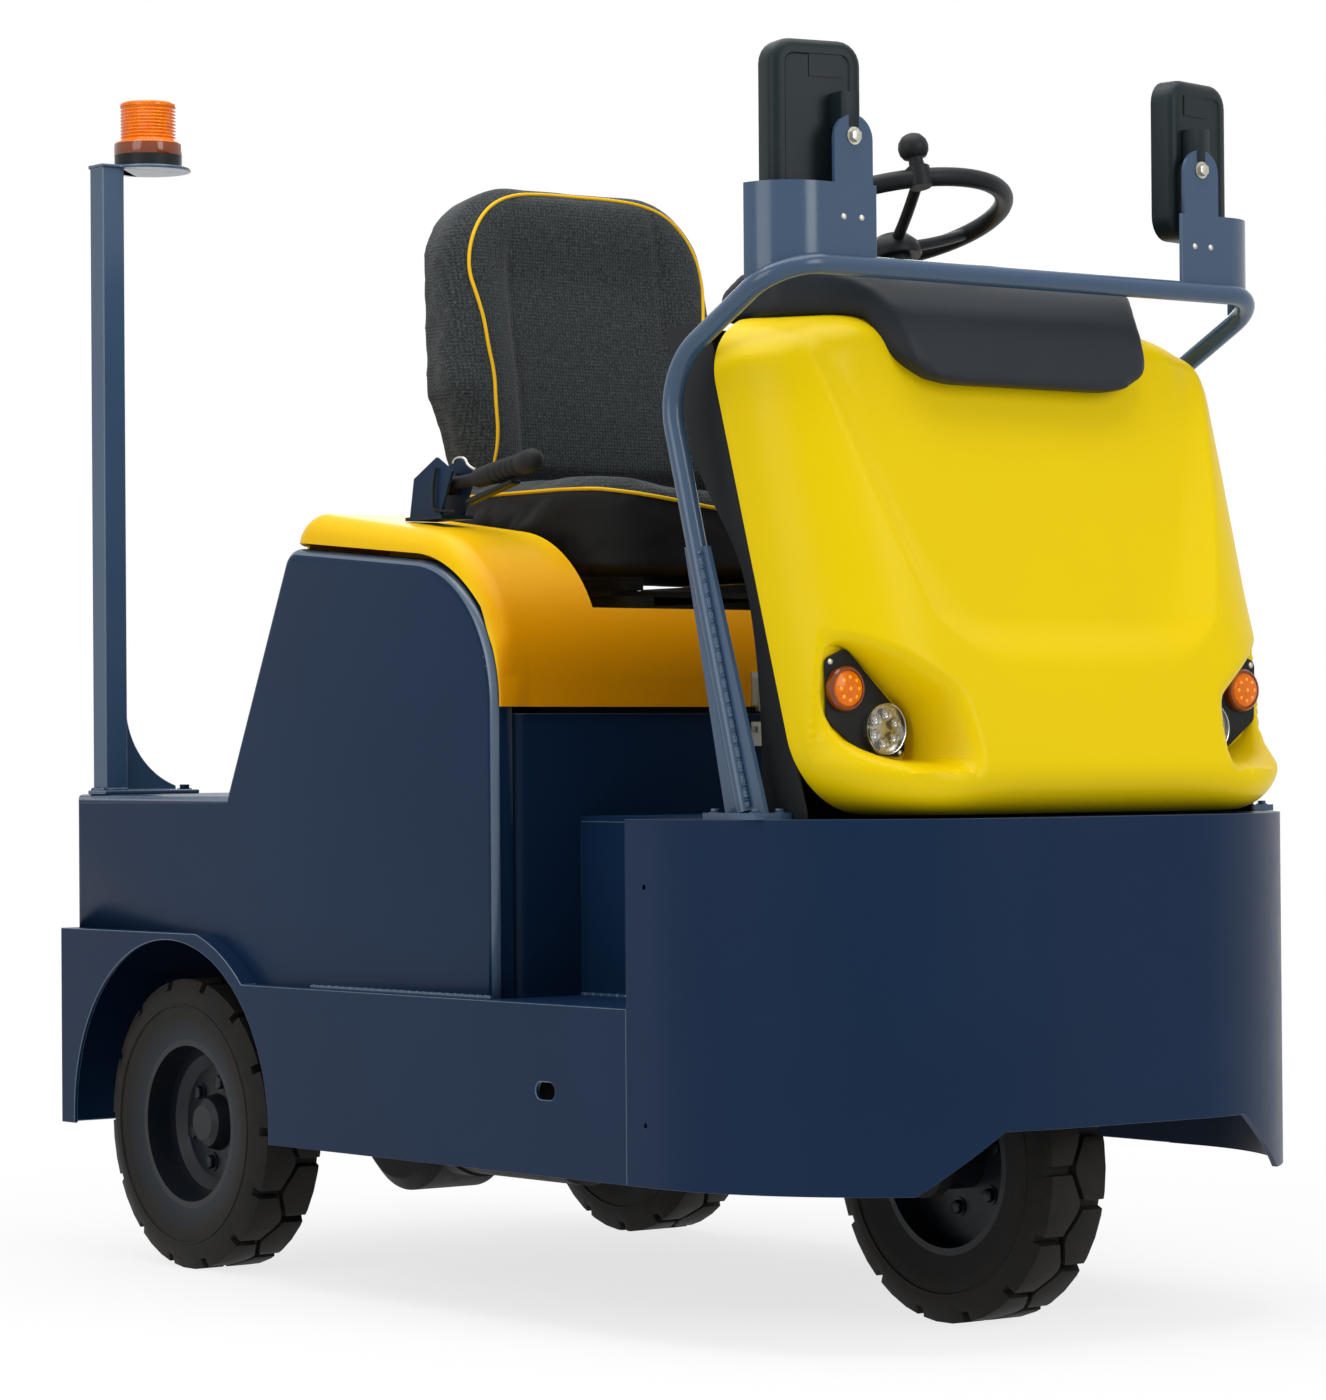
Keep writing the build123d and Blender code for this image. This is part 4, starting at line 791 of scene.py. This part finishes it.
def follow(table, value):
    """Read a table of pairs at a value, straight between its entries."""
    for (a, low), (b, high) in zip(table, table[1:]):
        if value <= b:
            t = max(0.0, (value - a) / (b - a))
            return low + t * (high - low)
    return table[-1][1]


def rounded(loop):
    """A closed loop with its corners cut twice over, which rounds them. Its first point comes again at the end."""
    for _ in range(2):
        legs = zip(loop, loop[1:] + loop[:1])
        loop = [(a + t * (c - a), b + t * (d - b)) for (a, b), (c, d) in legs for t in (0.25, 0.75)]
    return loop + loop[:1]


def within(u, z, loop):
    """Whether a point of the front view lies inside a closed loop."""
    odd = False
    for (au, az), (bu, bz) in zip(loop, loop[1:]):
        if (az > z) != (bz > z) and u < au + (z - az) / (bz - az) * (bu - au):
            odd = not odd
    return odd


mouth, throat = rounded(MOUTH), rounded(THROAT)
print("pocket loops:", len(mouth), "and", len(throat), "points")

# %% Cowl surface


def cowl_rows():
    """Middle line of the skin and, for each row, the height where it ends on the rear edge."""
    rows = []
    tilt = math.atan(LEAN)
    x, z, radius = CHIN_ARC
    for i in range(13):
        t = i / 13
        turn = math.radians(-84) + t * (math.radians(84) + tilt)
        rows.append((x + radius * math.cos(turn), z + radius * math.sin(turn), CHIN + 55 * t))
    z = 698.0
    while z < 1196.0:
        rows.append((1440.0 - LEAN * (z - CHIN), z, z if z < 1080 else 1080 + (z - 1080) * 0.73))
        z += 3.3 if z < 880 else 6.2
    x, z, radius = BROW_ARC
    for i in range(15):
        t = i / 15
        turn = tilt + t * (math.pi / 2 - tilt)
        rows.append((x + radius * math.cos(turn), z + radius * math.sin(turn), 1165 + 40 * t))
    for i in range(12):
        t = i / 11
        rows.append((x - 91.5 * t, TOP, 1205 + 40.8 * t))
    return rows


def cowl_point(row, share):
    """A point of the plain skin on a row, at a share from -1 to 1 of the way round it."""
    x, z, end_z = row
    end_x = 1296.0 - LEAN * (end_z - CHIN)
    reach = math.hypot(end_x - x, end_z - z)
    corner = min(165.0 - 0.09 * (z - CHIN), max(1.0, 0.98 * reach))
    swing = math.acos(max(0.0, 1 - reach / corner))
    flat = HALF - corner
    wall = max(0.0, reach - corner)
    way = abs(share) * (flat + corner * swing + wall)
    if way < flat:
        y, drop = way, 0.0
    elif way < flat + corner * swing:
        angle = (way - flat) / corner
        y, drop = flat + corner * math.sin(angle), corner * (1 - math.cos(angle))
    else:
        y, drop = flat + corner * math.sin(swing), way - flat - corner * swing + min(corner, reach)
    t = drop / reach if reach > 0.5 else 0.0
    px, pz = x + t * (end_x - x), z + t * (end_z - z)
    high, low = max(0.0, pz - TOP + TOP_ROUND), max(0.0, CHIN + LOW_ROUND - pz)
    top_cut = TOP_ROUND - math.sqrt(max(0.0, TOP_ROUND ** 2 - high ** 2))
    low_cut = LOW_ROUND - math.sqrt(max(0.0, LOW_ROUND ** 2 - low ** 2))
    y *= (HALF - top_cut - low_cut) / HALF
    return px, math.copysign(y, share), pz


def cowl_relief(x, y, z):
    """A skin point's place after the scoop and the lamp pockets are pressed in."""
    u = abs(y)
    ridge, panel = follow(RIDGE_EDGE, z), follow(PANEL_EDGE, z)
    flank = max(0.0, min(1.0, (ridge - u) / (ridge - panel)))
    fading = ease((z - SCOOP_FOOT) / 58) * (1 - 0.5 * ease((z - 1120) / 120))
    x -= SCOOP_DEPTH * (1 - (1 - flank) ** 2) * fading
    if x > LAMP_FLOOR and u > 195 and z < 870 and within(u, z, mouth):
        far, fu, fz = nearest(u, z, throat)
        sunk = 1.0
        if far < 2.0:
            u, z = fu, fz
        elif not within(u, z, throat):
            near = nearest(u, z, mouth)[0]
            share = near / (near + far)
            sunk = 1 - (1 - share) ** 1.7
            u, z = fu + (u - fu) * (1 - share) ** 0.7, fz + (z - fz) * (1 - share) ** 0.7
        x -= (x - LAMP_FLOOR) * (1 - (1 - sunk ** 2) ** 0.6)
    return at(x, math.copysign(u, y), z)


# %% [markdown]
# The grid primitive is wrapped onto those lines, thickened to a 4 mm wall, and lightly smoothed so that the pressed
# edges have the small round of a real mould. The flat floor of each pocket is the black lamp plate.

# %% Cowl skin
COLUMNS = 241
rows = cowl_rows()
cowl = begin("cowl_skin", bpy.ops.mesh.primitive_grid_add, x_subdivisions=COLUMNS - 1, y_subdivisions=len(rows) - 1)
for index, vertex in enumerate(cowl.data.vertices):
    row, column = divmod(index, COLUMNS)
    vertex.co = cowl_relief(*cowl_point(rows[row], column / (COLUMNS - 1) * 2 - 1))
modify(cowl, "SMOOTH", factor=0.4, iterations=1)
modify(cowl, "SOLIDIFY", thickness=0.004, offset=1)
face_outward()
settle(cowl, "chassis", cowl_yellow, 50, "front_cowl")
cowl.data.materials.append(black_abs)
for face in cowl.data.polygons:
    spot = (face.center - at(0, 0, 0)) * 1000
    flat = abs(spot.x - LAMP_FLOOR) < 0.5 and face.normal.x > 0.98
    face.material_index = int(flat and within(abs(spot.y), spot.z, throat))

# %% [markdown]
# ## Dash, steering wheel and tyres
# The dash is soft foam vinyl, so its solid is remeshed and smoothed until no edge is left.

# %% Dash
dash = copy_of("dash_pad", "dash_soft_pad")
modify(dash, "REMESH", mode="VOXEL", voxel_size=0.006)
modify(dash, "SMOOTH", factor=0.5, iterations=30)
settle(dash, "chassis", dash_vinyl, 60, "dash_pad")

# %% [markdown]
# The steering wheel is a torus on three bars. Turned pieces such as the hub and the spinner knob are spun from a
# half profile, which is drawn as a short line of radius and height.

# %% Turned pieces


def facing(place, axis):
    """The matrix that turns Z to an axis and moves to a place."""
    return Matrix.Translation(place) @ Vector(axis).to_track_quat("Z", "Y").to_matrix().to_4x4()


def stand(piece, place, axis):
    """Turn a piece's Z to an axis and move it to a place."""
    piece.matrix_world = facing(place, axis)
    return bake(piece)


def lathe(name, profile, place, axis, steps=40):
    """Spin a line of (radius, height) pairs in millimetres about Z, and stand it on an axis at a place."""
    piece = drawn(name, [[(radius / 1000, 0, height / 1000) for radius, height in profile]])
    with editing():
        bpy.ops.mesh.spin(steps=steps, angle=2 * math.pi, center=(0, 0, 0), axis=(0, 0, 1))
        bpy.ops.mesh.select_all(action="SELECT")
        bpy.ops.mesh.remove_doubles(threshold=0.00002)
        bpy.ops.mesh.normals_make_consistent(inside=False)
    return stand(piece, place, axis)


# %% Steering wheel
RIM_RADIUS = 152
SPOKE_ANGLES = (-24, 96, 216)
KNOB = [(0, -13), (14, -13), (15.5, -8), (15.5, 13), (10, 17), (9, 24), (10, 26), (15, 28), (18.5, 34), (19.5, 41),
        (18, 48), (13, 55), (6, 58.5), (0, 59.5)]
HUB = [(0, -18), (34, -18), (36, -14), (33, 0), (22, 12), (0, 16)]
lean = math.radians(16)
up_column = Vector((-math.sin(lean), 0, math.cos(lean)))
ahead = Vector((math.cos(lean), 0, math.sin(lean)))
beside = up_column.cross(ahead)
hub_place = at(1019, 0, 1396)


def on_wheel(radius, angle, lift):
    """A place on the steering wheel, by radius and lift in millimetres and angle in degrees."""
    a = math.radians(angle)
    return hub_place + (ahead * math.cos(a) + beside * math.sin(a)) * radius / 1000 + up_column * lift / 1000


rim = begin("wheel_rim", bpy.ops.mesh.primitive_torus_add, major_radius=RIM_RADIUS / 1000, minor_radius=0.012,
            major_segments=72, minor_segments=16)
parts = [stand(rim, hub_place, up_column), lathe("hub", HUB, on_wheel(0, 0, -34), up_column)]
for angle in SPOKE_ANGLES:
    bar = [on_wheel(20, angle, -32), on_wheel(70, angle, -26), on_wheel(150, angle, 0)]
    parts.append(tube("spoke", bar, 0.0075))
parts.append(lathe("knob", KNOB, on_wheel(RIM_RADIUS, SPOKE_ANGLES[0], 0), up_column))
settle(join("steering_wheel_skin", parts), "hand_wheel", black_abs, 40, "steering_wheel")

# %% [markdown]
# A solid tyre comes out of its mould with blunt lugs. The frame already has the lugs, so its mesh is merged, its
# flat faces are dissolved into single ones, and every sharp edge takes a 2.5 mm round. A thin raised ring marks
# each wall.

# %% Tyres
SHARP = math.radians(32)
REAR_WHEEL = 382.5


def merged_copy(node, name, angle):
    """A copy of a node whose triangles are dissolved into single faces where they lie within an angle."""
    piece = copy_of(node, name)
    with editing():
        bpy.ops.mesh.dissolve_limited(angle_limit=math.radians(angle))
    return piece


def round_tyre(node, name, hub, body, material):
    """A tyre with rounded lugs and a ring on each wall."""
    tyre = merged_copy(node, name, 1)
    modify(tyre, "BEVEL", width=0.0025, segments=2, limit_method="ANGLE", angle_limit=SHARP)
    parts = [tyre]
    for side in SIDES:
        ring = begin("wall_ring", bpy.ops.mesh.primitive_torus_add, major_radius=0.166, minor_radius=0.0018,
                     major_segments=84, minor_segments=8)
        parts.append(stand(ring, hub + Vector((0, side * 0.0535, 0)), (0, 1, 0)))
    settle(join(name, parts), body, material, 30, node)


for side, sign in (("right", -1), ("left", 1)):
    round_tyre(f"rear_tyre_{side}", f"lug_tyre_{side}", at(0, sign * REAR_WHEEL, AXLE_HEIGHT), f"rear_wheel_{side}",
               rear_rubber)
round_tyre("front_tyre", "lug_tyre_front", at(FRONT_AXLE, 0, AXLE_HEIGHT), "front_wheel", front_rubber)

# %% [markdown]
# ## Lamps
# Each lamp is a turned cup with small diodes in it. The amber one has nine diodes under a dyed dome, and the clear
# one six bulbs in a bright reflector under a flat clear lens. One lamp is built per side from the same turned
# profiles.

# %% Lamp finishes


def tinted(name, low, high, values):
    """A small shiny part in two close tones that change over about 6 mm."""
    return finish(name, values, (low, high), {"tone": (6, 2.0, 0.5)})[0]


amber_glow = tinted("amber_diode", "#FFA010", "#FFC040", {
    "Roughness": 0.25, "IOR": 1.49, "Emission Strength": 0.25, "Emission Color": linear("#FF8A00")})
# A darker amber for the lamp rims and the beacon collar.
dark_amber = tinted("dark_amber_rim", "#6A2A04", "#8A3A08", {
    "Roughness": 0.12, "IOR": 1.49, "Coat Weight": 0.1})
chrome_cup = tinted("bright_reflector", "#CFCECA", "#DAD9D5", {"Metallic": 1.0, "Roughness": 0.22})

# %% Lamps
LAMP_FACE = 1316.0
AMBER_PLACE = (330.0, 790.0)
CLEAR_PLACE = (271.0, 742.0)
FORWARD = (1, 0, 0)


def ring_of(count, radius, turn=0.0):
    """Places in a circle, as pairs of millimetres."""
    steps = [2 * math.pi * k / count + turn for k in range(count)]
    return [(radius * math.cos(a), radius * math.sin(a)) for a in steps]


def bead(name, place, radius):
    """A small round ball, for diodes and bulbs."""
    return begin(name, bpy.ops.mesh.primitive_uv_sphere_add, segments=14, ring_count=8, radius=radius / 1000,
                 location=place)


domes, rims, diodes, cups, bulbs, lenses = [], [], [], [], [], []
for side in SIDES:
    y, z = side * AMBER_PLACE[0], AMBER_PLACE[1]
    middle = at(LAMP_FACE, y, z)
    rim_line = [(21, 0), (27, 0), (27, 7), (25, 9.5), (22.5, 9.5), (22, 5)]
    rims.append(lathe("amber_rim", rim_line, middle, FORWARD))
    domes.append(lathe("amber_dome", [(23, 1), (23, 7), (20, 11), (12, 13.4), (0, 14)], middle, FORWARD))
    for u, v in ring_of(8, 13.5) + [(0, 0)]:
        lift = 11.6 if u or v else 13.0
        diodes.append(bead("diode", at(LAMP_FACE + lift, y + u, z + v), 2.6))
    y, z = side * CLEAR_PLACE[0], CLEAR_PLACE[1]
    middle = at(LAMP_FACE, y, z)
    cups.append(lathe("clear_cup", [(0, 2), (29, 2), (29.5, 9), (31, 9.5), (31, 0)], middle, FORWARD))
    for u, v in ring_of(6, 17.5, 0.4):
        cup_line = [(3, 2.5), (5, 3), (7.6, 7), (8, 7)]
        cups.append(lathe("bulb_cup", cup_line, at(LAMP_FACE, y + u, z + v), FORWARD, 20))
        bulbs.append(bead("bulb", at(LAMP_FACE + 4.5, y + u, z + v), 2.8))
    lens_line = [(0, 10.4), (29.3, 10.4), (29.3, 11.8), (0, 12)]
    lenses.append(lathe("clear_lens", lens_line, middle, FORWARD))
settle(join("amber_lamp_domes", domes), "chassis", amber_acrylic, node="turn_lamps")
settle(join("amber_lamp_rims", rims), "chassis", dark_amber)
settle(join("amber_lamp_diodes", diodes), "chassis", amber_glow)
settle(join("clear_lamp_cups", cups), "chassis", chrome_cup, node="head_lamps")
settle(join("clear_lamp_bulbs", bulbs), "chassis", silvered)
settle(join("clear_lamp_lenses", lenses), "chassis", clear_acrylic)

# %% [markdown]
# ## Beacon
# The warning beacon's lens is moulded with fine rings that spread the light. A zigzag profile, spun round, gives
# them.

# %% Beacon
BEACON_FOOT = at(-242, -334, 1590)
UPRIGHT = (0, 0, 1)
profile = [(49, 0), (49, 17), (47.5, 19), (41, 20)]
height = 22.0
while height < 70:
    profile += [(40.4, height), (38.8, height + 2.4)]
    height += 4.8
profile += [(40.5, 71), (40.5, 75), (38, 77), (0, 77)]
beacon = lathe("beacon_ringed_lens", profile, BEACON_FOOT, UPRIGHT, 64)
settle(beacon, "chassis", amber_acrylic, 25, "beacon_lens")
collar_line = [(49.2, 0), (49.6, 1), (49.6, 15), (49.2, 17)]
collar = lathe("beacon_collar", collar_line, BEACON_FOOT, UPRIGHT, 64)
settle(collar, "chassis", dark_amber)

# %% [markdown]
# ## Bolts, nuts and screws
# One hexagon head on its washer is modelled and then copied. A screw is the same with a round head. Both are drawn
# with a radius of 1 and take their size in the copy.

# %% Fasteners
bolt = begin("bolt_head", bpy.ops.mesh.primitive_cylinder_add, vertices=6, radius=1, depth=0.7,
             location=(0, 0, 0.55))
modify(bolt, "BEVEL", width=0.07, segments=2, limit_method="ANGLE", angle_limit=0.6)
washer = begin("washer", bpy.ops.mesh.primitive_cylinder_add, vertices=28, radius=1.35, depth=0.2,
               location=(0, 0, 0.1))
bolt = bake(join("bolt_head", [bolt, washer]))
screw = begin("screw_head", bpy.ops.mesh.primitive_uv_sphere_add, segments=18, ring_count=8, radius=1)
screw.scale = (1, 1, 0.5)
bake(screw)


def fasten(name, pattern, spots, size, body, material):
    """Copies of a fastener, size millimetres in radius, at spots that give a station and an axis."""
    copies = []
    for station, axis in spots:
        made = bpy.data.objects.new(name, pattern.data.copy())
        scene.collection.objects.link(made)
        made.matrix_world = facing(at(*station), axis) @ Matrix.Diagonal((size / 1000,) * 3 + (1,))
        copies.append(made)
    settle(join(name, copies), body, material)


feet = [((1223 + x, s * (404 + y), 643), UPRIGHT) for s in SIDES for x in (-39, 39) for y in (-18, 18)]
fasten("guard_foot_bolts", bolt, feet, 5.5, "chassis", navy_lit_gloss)
fasten("post_foot_bolt", bolt, [((-242, -279, 668), UPRIGHT)], 8, "chassis", navy_enamel)
arms = [((1295.5, s * 290, 1454), FORWARD) for s in SIDES]
fasten("mirror_arm_bolts", bolt, arms, 8, "chassis", zinc)
brackets = [((1295.5, s * y, 1356), FORWARD) for s in SIDES for y in (278, 306)]
fasten("bracket_screws", screw, brackets, 4, "chassis", zinc)
plates = [((LAMP_FACE, s * y, z), FORWARD) for s in SIDES for y, z in ((350, 822), (242, 713))]
fasten("lamp_plate_screws", screw, plates, 4, "chassis", zinc)
for side, sign in (("right", -1), ("left", 1)):
    ring = [((u, sign * 378.5, AXLE_HEIGHT + v), (0, sign, 0)) for u, v in ring_of(6, 58, 0.3)]
    fasten(f"wheel_nuts_{side}", bolt, ring, 10, f"rear_wheel_{side}", wheel_dirt_and_shade_enamel)
ring = [((FRONT_AXLE + u, s * 5, AXLE_HEIGHT + v), (0, s, 0)) for s in SIDES for u, v in ring_of(6, 62, 0.3)]
fasten("wheel_nuts_front", bolt, ring, 9, "front_wheel", wheel_dirt_and_shade_enamel)
for pattern in (bolt, screw):
    bpy.data.objects.remove(pattern)

# %% [markdown]
# ## Parking lever
# The grip is turned with grooves for the fingers. A release trigger sits under it, and two bent wires work the
# ratchet.

# %% Parking lever
LEVER_Y = -335
lever_pin = at(504, LEVER_Y, 1075)
grip_foot, grip_end = at(578, LEVER_Y, 1078), at(714, LEVER_Y, 1098)
along = grip_end - grip_foot
length = along.length * 1000
profile = [(0, 0), (12, 0), (13, 5)]
for k in range(5):
    start = 34 + 13 * k
    profile += [(14.2, start), (14.2, start + 6), (12.4, start + 8), (12.4, start + 11)]
profile += [(14.5, 102), (15.5, 116), (15, 126), (11, 134), (5, length), (0, length + 0.5)]
grip = lathe("lever_grip", profile, grip_foot, along, 28)
arm = tube("lever_arm", [lever_pin, at(540, LEVER_Y, 1074), at(580, LEVER_Y, 1079)], 0.0085)
eye = begin("lever_eye", bpy.ops.mesh.primitive_cylinder_add, vertices=32, radius=0.015, depth=0.024,
            location=lever_pin, rotation=(math.pi / 2, 0, 0))
settle(join("parking_lever", [grip, arm, eye]), "hood", grip_rubber, 40, "brake_grip")

# %% Lever trigger and wires
SPRING = [(517, -358, 1094), (512, -359, 1090), (508, -359, 1042), (516, -357, 1037), (548, -350, 1036)]
HOOK = [(538, -346, 1100), (541, -346, 1107), (560, -342, 1107), (564, -340, 1094), (578, -338, 1090)]
trigger = bake(block("lever_trigger", (0.1, 0.012, 0.009), at(608, LEVER_Y, 1060)))
with editing():
    choose(trigger, "faces", lambda p, f: f.normal.x > 0.9)
    bpy.ops.transform.translate(value=(0.006, 0, 0.010))
    bpy.ops.transform.resize(value=(1, 1.5, 0.6))
    choose(trigger, "faces", lambda p, f: f.normal.x < -0.9)
    bpy.ops.transform.translate(value=(0, 0, -0.012))
modify(trigger, "BEVEL", width=0.003, segments=3)
settle(trigger, "hood", black_abs)
settle(tube("ratchet_spring", [at(*p) for p in SPRING], 0.0022), "hood", black_abs)
settle(tube("ratchet_wire", [at(*p) for p in HOOK], 0.0018), "hood", zinc)

# %% [markdown]
# ## Mirrors
# The mirror housings are thin mouldings. A cube takes wide rounds at its corners and a soft rear edge. The rear
# face is inset and sunk 2 mm, which leaves the raised border, and a small blank frame stands near the top.

# %% Mirrors


def mirror_shell(side):
    """One housing with its clamp, in the mirror's own axes, then moved to its side."""
    shell = bake(block("mirror_shell", (0.125, 0.205, 0.034), (0, 0, 0.017)))
    with editing():
        choose(shell, "edges", lambda p, e: abs(e.verts[0].co.z - e.verts[1].co.z) > 0.02)
        bpy.ops.mesh.bevel(offset=0.03, segments=6, affect="EDGES")
        choose(shell, "edges", lambda p, e: max(v.co.z for v in e.verts) < 0.001)
        bpy.ops.mesh.bevel(offset=0.012, segments=4, affect="EDGES")
        choose(shell, "faces", lambda p, f: f.normal.z < -0.99 and p.z < 0.001)
        bpy.ops.mesh.inset(thickness=0.006, depth=0)
        bpy.ops.mesh.inset(thickness=0.002, depth=-0.002)
        choose(shell, "faces", lambda p, f: f.normal.z > 0.99)
        bpy.ops.mesh.inset(thickness=0.005, depth=0)
        bpy.ops.mesh.inset(thickness=0.0002, depth=-0.003)
    label = block("label_frame", (0.046, 0.03, 0.0012), (0.012, -0.072, 0.0014))
    clamp = block("clamp", (0.024, 0.042, 0.03), (0.03, -0.016, -0.011))
    modify(clamp, "BEVEL", width=0.003, segments=2)
    piece = bake(join("mirror_shell", [shell, label, clamp]))
    across = Vector((0.2, 1, 0)).normalized()
    inward = Vector((-1, 0.2, 0)).normalized()
    turn = Matrix((across, inward.cross(across), inward)).transposed().to_4x4()
    piece.matrix_world = Matrix.Translation(at(1264.5, -320, 1470)) @ turn
    bake(piece)
    if side > 0:
        piece.scale = (1, -1, 1)
        bake(piece)
    face_outward()
    return piece


mirrors = join("mirror_shells", [mirror_shell(side) for side in SIDES])
settle(mirrors, "chassis", slate_abs, node="mirror_housings")

# %% [markdown]
# ## Welds
# A hand-laid bead is a row of overlapping ripples about 4 mm apart. The bead is a thin tube whose radius swells and
# shrinks along its way, painted over with the body. Its paint is a paler, shinier copy of the body's navy: painted
# light.

# %% Weld beads
STEP_TOP = 405
DECK_TOP = 668.5
GUARD_FOOT = 1223


def ripple(k):
    """Thickness of a bead at its k-th point, as a share of the whole."""
    return 1.0 + 0.22 * math.cos(k * math.pi) * math.sin(k * 0.37)


def weld(name, points, radius):
    """A rippled bead along straight runs between stations."""
    ends = [at(*point) for point in points]
    runs = []
    for start, end in zip(ends, ends[1:]):
        last = max(4, int((end - start).length / 0.002)) - 1
        runs.append([start.lerp(end, k / last) for k in range(last + 1)])
    return drawn(name, runs, radius, 2, ripple=ripple)


beads = []
for side in SIDES:
    beads += [weld("panel_weld", [(330, side * 436.5, STEP_TOP), (745, side * 436.5, STEP_TOP)], 0.0035),
              weld("step_weld", [(748, side * 296, STEP_TOP), (1046, side * 296, STEP_TOP)], 0.003),
              weld("step_end_weld", [(1049, side * 300, STEP_TOP), (1049, side * 450, STEP_TOP)], 0.003)]
    for x in (GUARD_FOOT - 9, GUARD_FOOT + 9):
        beads.append(weld("guard_weld", [(x, side * 409, 650), (x - 91, side * 409, 958)], 0.0038))
beads.append(weld("post_weld", [(-260, -423, DECK_TOP), (-224, -423, DECK_TOP), (-224, -387, DECK_TOP)], 0.0035))
settle(join("painted_welds", beads), "chassis", navy_lit_gloss, 60)

# %% [markdown]
# ## Rounded sheet edges
# Folded and cut plate is never razor sharp: paint thins on its corners and they catch the light. Each body plate is
# copied, its flat faces are merged, and a narrow bevel takes a paler, shinier paint of its own: rubbed wear and a
# painted highlight.

# %% Plate edges
EDGE_WIDTH = 0.0018


def soften(node):
    """A copy of a plate with round edges in paler paint: rubbed wear and a painted highlight."""
    plate = merged_copy(node, node + "_plate", 0.5)
    plate.data.materials.append(navy_worn_highlight_edge)
    modify(plate, "BEVEL", width=EDGE_WIDTH, segments=2, limit_method="ANGLE", angle_limit=SHARP, material=1)
    settle(plate, "chassis", None, 40, node)
    modify(plate, "WEIGHTED_NORMAL", mode="FACE_AREA", weight=100, keep_sharp=True)


for node in ("skirt_right", "skirt_left", "bumper", "boarding_steps", "rear_panel", "rear_deck", "front_panel",
             "beacon_post", "mirror_brackets"):
    soften(node)
for node in ("side_panel_right", "side_panel_left"):
    panel = copy_of(node, node + "_plate")
    panel.data.materials.append(navy_worn_highlight_edge)
    # The rounded rim of each side panel takes the paler edge paint: rubbed wear and a painted highlight.
    for face in panel.data.polygons:
        face.material_index = int(0.25 < abs(face.normal.y) < 0.93)
    settle(panel, "chassis", None, 30, node)

# %% [markdown]
# The hood's front corner laps over the side panel's edge. Its surface is a narrow grid, bent by code: upward it
# lies on the hood's own round shoulder, and downward it turns more tightly, about 4 mm clear of the panel.

# %% Hood corners
HOOD_ROUND = 195
HOOD_ROUND_X = 557
HOOD_ROUND_Z = 816
SHOULDER = 34
GRID_ROWS, GRID_COLUMNS = 44, 14


def hood_corner(u, z):
    """X of the corner moulding at a distance from the middle and a height."""
    lift = max(0.0, z - HOOD_ROUND_Z)
    bow = math.sqrt(HOOD_ROUND ** 2 - lift ** 2)
    front = HOOD_ROUND_X + bow
    sink = SHOULDER - math.sqrt(SHOULDER ** 2 - max(0.0, u - 398) ** 2)
    shoulder = front - sink * HOOD_ROUND / bow
    clear = 556 + math.sqrt(196.3 ** 2 - max(0.0, z - 779.2) ** 2)
    proud = max(front + 0.3, clear + 3.2)
    if u < 404:
        tight = front + 0.2 + (proud - front - 0.2) * ease((u - 384) / 20)
    else:
        tight = clear + (proud - clear) * math.sqrt(max(0.0, 1 - ((u - 404) / 23) ** 2))
    return shoulder - 0.7 + ease((892 - z) / 44) * max(0.0, tight - shoulder)


corners = []
for side in SIDES:
    corner = begin("hood_corner", bpy.ops.mesh.primitive_grid_add, x_subdivisions=GRID_COLUMNS - 1,
                   y_subdivisions=GRID_ROWS - 1)
    for index, vertex in enumerate(corner.data.vertices):
        row, column = divmod(index, GRID_COLUMNS)
        z = 776.2 + 3 * row
        u = 384 + 43 * math.sin(column / (GRID_COLUMNS - 1) * math.pi / 2)
        vertex.co = at(hood_corner(u, z), side * u, z)
    corners.append(modify(corner, "SOLIDIFY", thickness=0.002, offset=0))
corner = join("hood_corners", corners)
face_outward()
settle(corner, "hood", hood_gold, 50)
